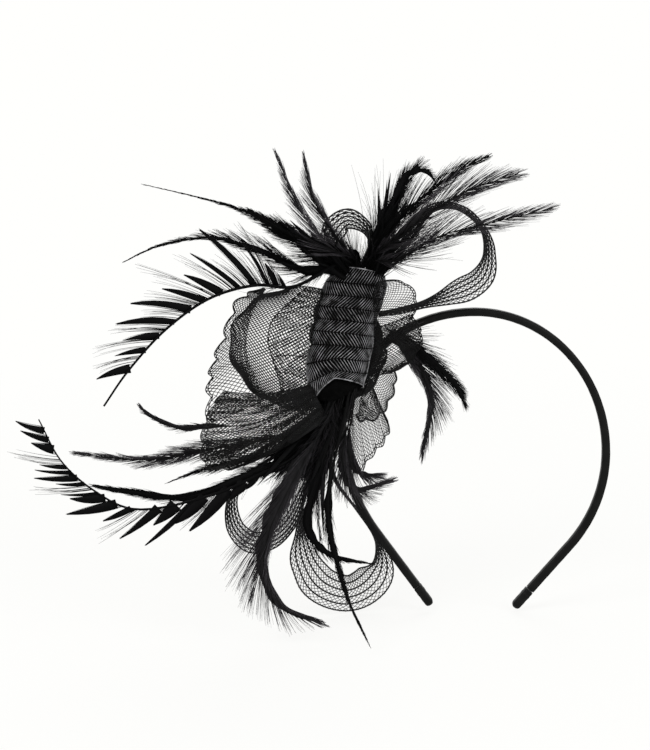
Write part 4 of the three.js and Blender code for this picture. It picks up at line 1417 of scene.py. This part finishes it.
def feathers() -> list[Feather]:
    """Every feather, with its shaft on the same points as its solid.

    Returns:
        The feathers, each with its own seed.
    """
    top, foot = KNOT.from_top, KNOT.from_foot

    def free(*points: tuple[float, float, float]) -> Array:
        """A shaft's points, given in full."""
        return np.array(points, float)

    smoke = {"finish": SMOKE_FEATHER}
    stripped = {"kind": Plumage.STRIPPED, "core": 0.0, "stem": 0.95, "barbs": 230}
    wisp = {"kind": Plumage.WISP, "core": 0.0, "finish": SMOKE_FEATHER}
    made = [
        Feather("coque_upper_left", top((-5.4, -6), (-86, -43, 21), (-102, -50, 23), (-122, -54, 18),
                (-142, -55, 4), (-160, -54, -16), (-171, -52, -32)), 16, -0.9, 0.3, bare=0.87, sweep=46,
                fade=0.25, point=0.5, **stripped),
        Feather("hackle_curved_left", top((-6.8, -3.6), (-79, -31, 26), (-101, -39, 37), (-122, -41, 43),
                (-146, -39, 39), (-163, -36, 31)), 8, -0.4, 0.2, fade=1.9, barbs=300),
        Feather("hackle_dark_left", top((-3.4, -3.2), (-74, -24, 35), (-89, -28, 44), (-106, -33, 55)), 9, 0,
        0.16,
                fade=0.9, barbs=320, core=0.6),
        Feather("hackle_upper_left", top((-4.3, -0.7), (-72, -18, 36), (-92, -20, 45), (-110, -18, 53),
                (-128, -16, 58), (-156, -12, 64)), 7, 0.3, 0.18, fade=2.2, barbs=300),
        Feather("hackle_tall_left", top((-2.4, -6), (-70, -31, 38), (-84, -26, 57), (-94, -18, 80)), 5, 0,
        0.3,
                fade=0.7, sweep=12, barbs=120, core=0.1, **smoke),
        Feather("hackle_tall_right", top((-1.4, -3), (-66, -24, 41), (-76, -18, 57), (-81, -11, 78)), 5, 0,
        0.3,
                fade=0.7, sweep=12, barbs=120, core=0.1, **smoke),
        Feather("hackle_plume", top((2, -3), (-47, -17, 39), (-39, -12, 57), (-33, -7, 68), (-25, -2, 69),
                (-20, -2, 65)), 6, -0.5, 0.2, fade=1.0, barbs=260, core=0.6),
        Feather("hackle_right_high", top((5, -3), (-42, -14, 41), (-34, -14, 51), (-23, -11, 60), (-9, -4,
        69),
                (6, 6, 75)), 7, 0, 0.26, fade=0.6, barbs=170, core=0.14),
        Feather("hackle_right_middle", top((2.2, -6), (-36, -28, 42), (-17, -22, 56), (-2, -18, 63), (18,
        -14, 69)),
                9, 0, 0.26, fade=0.5, barbs=150, core=0.05, **smoke),
        Feather("hackle_right_low", top((5, -6), (-38, -33, 32), (-18, -33, 43), (4, -35, 49), (32, -36, 56)),
                8.5, 0, 0.26, fade=0.5, barbs=150, core=0.05, **smoke),
        Feather("coque_lower_left", foot((-5.2, -5.4), (-84, -43, -57), (-101, -48, -65), (-123, -55, -73),
                (-158, -60, -78), (-176, -60, -69), (-190, -59, -56), (-200, -57, -37)), 12, 0.9, 0.36,
                bare=0.99,
                sweep=46, fade=0.2, loose=5, turn=(0.6, 1.25), point=0.3, **stripped),
        Feather("hackle_lower_left", foot((-6.6, -3), (-84, -37, -60), (-101, -37, -66), (-134, -43, -77),
                (-160, -42, -75), (-179, -38, -73)), 4.5, 0, 0.24, fade=0.5, core=0.6, barbs=300),
        Feather("smoke_lower_left", foot((-7, 0), (-84, -20, -50), (-107, -8, -60), (-130, -3, -65),
                (-155, -1, -70), (-193, 4, -68)), 6, 0, 0.4, fade=0.5, core=0.1, barbs=300, **smoke),
        Feather("spike_left", foot((-4.4, 0), (-90, -22, -59), (-116, -19, -67), (-130, -18, -71), (-147,
        -16, -78)),
                5, 0, 0.4, barbs=110),
        Feather("smoke_lower_wide", foot((-3.2, -6), (-80, -46, -58), (-90, -51, -76), (-97, -54, -92),
                (-99, -54, -107), (-91, -52, -126), (-71, -49, -136)), 9, -0.5, 0.24, fade=0.6, core=0.5,
                barbs=280, **smoke),
        Feather("quill_long_lower", foot((3.4, -6), (-69, -52, -70), (-69, -56, -88), (-65, -60, -105),
                (-60, -63, -121), (-50, -67, -142)), 3.2, 0, 0.26, fade=0.7, barbs=140, core=0.6, stem=0.9),
        Feather("hackle_hooked", foot((0, -6), (-73, -47, -62), (-79, -50, -88), (-74, -51, -98), (-66, -52,
        -103),
                (-48, -54, -106)), 3.6, 0, 0.28, fade=0.6, core=0.7, barbs=130),
        Feather("wisp_lower_left", foot((-4.2, -3), (-82, -41, -62), (-90, -43, -81), (-100, -43, -102),
                (-106, -42, -128)), 9, 0, 0.26, barbs=170, **wisp),
        Feather("wisp_lower_middle", foot((-1, -3), (-73, -40, -62), (-75, -43, -77), (-73, -44, -98)), 7, 0,
        0.3,
                barbs=150, **wisp),
        Feather("spike_right_low", foot((6, -3), (-63, -34, -62), (-57, -28, -77), (-39, -28, -73)), 6, 0,
        0.36,
                fade=0.6, barbs=160, core=0.4, **smoke),
        Feather("spike_right_high", foot((7, 0), (-60, -24, -60), (-55, -17, -72), (-46, -16, -74)), 6, 0,
        0.36,
                fade=0.6, barbs=150, core=0.4, **smoke),
        Feather("smoke_right_droop", free((-46, -6, -13), (-40, -7, -9), (-34, -8, -14), (-24, -7, -29),
                (-21, -6, -41), (-25, -2, -69)), 7, 0.4, 0.12, fade=0.5, core=0.4, barbs=280, **smoke),
        Feather("hackle_right_droop", free((-42, -12, -4), (-34, -13, -8), (-20, -15, -19), (-10, -16, -29),
                (-6, -17, -36)), 6, -0.5, 0.1, fade=0.6, barbs=200),
        Feather("smoke_left_rear", free((-61, 3.7, -27), (-70, 5, -35), (-84, 8, -45), (-107, 9, -55), (-127,
        10, -56),
                (-141, 11, -57), (-156, 12, -51), (-161, 12, -46)), 2.4, 0, 0.5, fade=0.5, core=0.7,
                barbs=90, **smoke),
    ]
    return [Feather(**{**feather.__dict__, "seed": k}) for k, feather in enumerate(made)]


@dataclass(frozen=True)
class Tuft:
    """Body feathers and loose barbs bound into an end of the knot, where they fill its mouth."""

    name: str
    root: tuple[float, float, float]
    heading: tuple[float, float, float]
    spread: float  # how far they stray from the heading, as a tangent
    length: float
    blades: int = 46
    hairs: int = 420
    broad: float = 1.0
    seed: int = 0

    def lines(self, rng: np.random.Generator, count: int, stray: float) -> Array:
        """Bent lines from the root.

        Each starts a little off the root, heads the tuft's way with a seeded stray, and bends
        with the square of its length.

        Args:
            rng: the seeded generator.
            count: how many.
            stray: a factor on the spread.

        Returns:
            Lines as (count, 9, 3).
        """
        q = np.linspace(0, 1, 9)[None, :, None]
        head = unit(np.array(self.heading, float))
        start = np.array(self.root, float) + rng.normal(0, 1.7, (count, 3))
        way = unit(head + rng.normal(0, self.spread * stray, (count, 3)) * (1.0, 0.6, 1.0))
        bend = rng.normal(0, 0.16, (count, 3))
        span = (self.length * rng.uniform(0.45, 1.05, count))[:, None, None]
        return start[:, None] + span * (q * way[:, None] + q * q * bend[:, None])

    def build(self) -> None:
        """Makes the blades, each a flattened leaf, and the hairs between them."""
        rng = np.random.default_rng(500 + self.seed)
        mould = Mould()
        q = np.linspace(0, 1, 9)[None]
        blades = self.lines(rng, self.blades, 0.8)
        leaf = self.broad * np.clip(np.sin(np.pi * np.clip(q * 0.96 + 0.03, 0, 1)), 0.03, 1) ** 0.8
        side = rng.normal(0, 1, (self.blades, 1, 3)) * (1, 0.3, 1)
        strands(mould, blades, leaf, side, sides=6, tone=q * 0.3, flat=0.14)
        hairs = self.lines(rng, self.hairs, 1.25)
        strands(mould, hairs, 0.16 * (1 - 0.75 * q), np.array([0.0, 1.0, 0.1]), sides=3, tone=q * 0.8)
        mould.make(f"tuft_{self.name}", BLACK_FEATHER)


TUFTS = (
    Tuft("upper_left", (-60, -15, 22), (-0.72, -0.28, 0.64), 0.1, 34, blades=40, hairs=160, broad=1.5,
    seed=1),
    Tuft("upper_right", (-50, -12, 23), (0.3, 0.05, 0.95), 0.07, 42, blades=34, hairs=160, broad=1.2, seed=3),
    Tuft("upper_far_right", (-49, -13, 22), (0.7, 0.0, 0.72), 0.11, 40, blades=12, hairs=260, broad=0.8,
    seed=4),
    Tuft("lower_left", (-69, -30, -40), (-0.7, -0.2, -0.7), 0.05, 40, blades=50, hairs=120, broad=1.4,
    seed=5),
    Tuft("lower_middle", (-66, -30, -39), (-0.38, -0.22, -0.9), 0.08, 44, blades=60, hairs=160, broad=1.4,
    seed=6),
)


# ---------------------------------------------------------------- felt


@dataclass(frozen=True)
class FeltBase:
    """The felt pad in front of the headband and the felt disc behind it, stitched round."""

    centre: tuple[float, float] = (-54.0, -22.0)
    lean: float = 58.0
    length: float = 32.0
    width: float = 17.0
    face: float = 2.8  # the headband's half width and its gap
    saddle_back: float = 10.4  # how far forward the pad reaches before it meets the knot
    backing: float = 1.6
    crush: float = 2.4  # how far the stitches pull the pad's edge in

    def outline(self, grow: Array, angle: Array) -> Array:
        """Places in XZ on the oval, moved in or out by grow."""
        a, b = self.length / 2 + grow, self.width / 2 + grow
        x, z = a * np.cos(angle), b * np.sin(angle)
        lean = math.radians(self.lean)
        turned = np.stack([x * math.cos(lean) - z * math.sin(lean), x * math.sin(lean) + z * math.cos(lean)],
                axis=-1)
        return turned + np.array(self.centre)

    def slab(self, mould: Mould, front: float, back: float, soft: float, trim: float = 0.0) -> None:
        """Adds an oval slab with rounded edges between two depths.

        Args:
            mould: takes the slab.
            front: its lower y.
            back: its higher y.
            soft: the edge's radius.
            trim: how far its whole edge is cut in.
        """
        angle = np.linspace(0, 2 * np.pi, 96, endpoint=False)
        bend = np.linspace(0, np.pi / 2, 6)
        inset = soft * (1 - np.sin(bend))
        depth = soft * (1 - np.cos(bend))
        edge = -trim - inset
        grow = np.concatenate([[-self.width / 2 + 1], edge, edge[::-1], [-self.width / 2 + 1]])
        y = np.concatenate([[front], front + depth, (back - depth)[::-1], [back]])
        flat = self.outline(grow[:, None], angle[None])
        points = np.stack([flat[..., 0], np.broadcast_to(y[:, None], flat.shape[:2]), flat[..., 1]], axis=-1)
        index = np.arange(points.shape[0] * 96).reshape(-1, 96)
        low, high = index[:-1], index[1:]
        walls = np.stack([low, high, np.roll(high, -1, 1), np.roll(low, -1, 1)], axis=-1).reshape(-1, 4)
        mould.add(points, [walls, index[0][None], index[-1][::-1][None]])

    def stitches(self, mould: Mould, y: float) -> None:
        """Adds a running stitch round the disc, just inside its edge."""
        count, span = 34, 0.055
        middle = np.linspace(0, 2 * np.pi, count, endpoint=False)[:, None]
        angle = middle + np.linspace(-span, span, 5)[None]
        flat = self.outline(np.full_like(angle, -1.5), angle)
        rise = 0.22 * np.sin(np.linspace(0, np.pi, 5))[None]
        lines = np.stack([flat[..., 0], np.broadcast_to(y + rise, angle.shape), flat[..., 1]], axis=-1)
        strands(mould, lines, 0.2, np.array([0.0, 1.0, 0.0]), sides=5)

    def build(self) -> None:
        """Makes the pad and the disc."""
        pad = Mould()
        self.slab(pad, -self.face - self.saddle_back, -self.face, 3.0, self.crush)
        piece = pad.make("felt_pad", FELT)
        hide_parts("felt_saddle")
        disc = Mould()
        self.slab(disc, self.face, self.face + self.backing, 0.5)
        piece = disc.make("felt_disc", FELT)
        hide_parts("felt_backing")
        area = math.pi * self.length * self.width / 4
        self.width * MM
        area * MM * MM
        thread = Mould()
        self.stitches(thread, self.face + self.backing)
        thread.make("felt_stitches", WOUND)


# ---------------------------------------------------------------- studio


@dataclass(frozen=True)
class Studio:
    """Pale floor, soft lamps and the camera."""

    aim: tuple[float, float, float] = (-0.071, 0.0, -0.0287)
    distance: float = 1.0
    elevation: float = 12.0
    lens: float = 100.8
    floor: float = -0.1462

    def camera(self) -> None:
        """A camera straight in front, a little above, looking at the aim."""
        lens = bpy.data.cameras.new("front_camera")
        lens.lens, lens.sensor_width, lens.clip_end = self.lens, 36, 20
        camera = bpy.data.objects.new("front_camera", lens)
        tilt = math.radians(self.elevation)
        x, y, z = self.aim
        camera.location = (x, y - self.distance * math.cos(tilt), z + self.distance * math.sin(tilt))
        camera.rotation_euler = (math.pi / 2 - tilt, 0, 0)
        put_in_scene(camera)
        bpy.context.scene.camera = camera

    def lamp(self, name: str, place: tuple[float, float, float], size: float, power: float) -> None:
        """A square soft lamp that faces the object."""
        light = bpy.data.lights.new(name, "AREA")
        light.size, light.energy = size, power
        lamp = bpy.data.objects.new(name, light)
        lamp.location = place
        aim = np.array(self.aim) - np.array(place)
        flat = math.hypot(aim[0], aim[1])
        lamp.rotation_euler = (math.pi / 2 - math.atan2(-aim[2], flat), 0, math.atan2(aim[1],
                aim[0]) - math.pi / 2)
        put_in_scene(lamp)

    def white(self, graph: Graph) -> Reading:
        """1 where the camera, a reflection or glass sees the surface, and 0 for other light."""
        path = graph.node("ShaderNodeLightPath")
        seen = Reading(graph, path.outputs["Is Camera Ray"])
        for name in ("Is Glossy Ray", "Is Transmission Ray"):
            seen = seen.math("MAXIMUM", seen, Reading(graph, path.outputs[name]))
        return seen

    def build(self) -> None:
        """Makes the floor, the lamps, the world and the camera."""
        radius, corners = 4, 48
        ring = np.linspace(0, 2 * np.pi, corners, endpoint=False)
        mesh = bpy.data.meshes.new("floor")
        rim = [(radius * math.cos(a), radius * math.sin(a), self.floor) for a in ring]
        mesh.from_pydata(rim, [], [tuple(range(corners))])
        floor = bpy.data.objects.new("floor", mesh)
        put_in_scene(floor)
        paper = bpy.data.materials.new("floor_paper")
        graph = Graph(paper)
        matt = graph.node("ShaderNodeBsdfDiffuse", None, {"Color": (0.9, 0.9, 0.89, 1)})
        glow = graph.node("ShaderNodeEmission", None, {"Color": (1, 1, 0.985, 1), "Strength": 1.0})
        split = graph.node("ShaderNodeSeparateXYZ", None, {"Vector": graph.place()})
        x, y = Reading(graph, split.outputs[0]), Reading(graph, split.outputs[1])
        away = (x * x + y * y) * 2.5
        away = away.math("MINIMUM", away, 1.0)
        mix = graph.node("ShaderNodeMixShader", None, {
            "Fac": self.white(graph) * (away * 0.14 + 0.86), 1: matt.outputs[0], 2: glow.outputs[0]})
        graph.node("ShaderNodeOutputMaterial", None, {"Surface": mix.outputs[0]})
        mesh.materials.append(paper)

        world = bpy.data.worlds.new("studio")
        graph = Graph(world)
        shade = self.white(graph)
        sky = graph.node("ShaderNodeBackground", None, {"Color": (1, 1, 0.985, 1),
                "Strength": shade * 0.55 + 0.45})
        graph.node("ShaderNodeOutputWorld", None, {"Surface": sky.outputs[0]})
        bpy.context.scene.world = world
        self.lamp("key", (-0.9, -1.1, 1.2), 0.9, 16)
        self.lamp("fill", (1.2, -1.0, 0.7), 1.2, 14)
        self.lamp("rim", (0.3, 1.3, 1.1), 1.0, 9)
        self.camera()
        bpy.context.scene.view_settings.view_transform = "Standard"


def main() -> None:
    """Builds the fascinator and its studio."""
    logging.basicConfig(level=logging.INFO, format="%(name)s: %(message)s")
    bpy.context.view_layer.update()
    Studio().build()
    Headband().build()
    KNOT.build()
    FeltBase().build()
    Puff().build()
    for part in (*PETALS, *LOOPS, *feathers(), *TUFTS):
        part.build()
    bpy.context.view_layer.update()


if __name__ == "__main__":
    main()
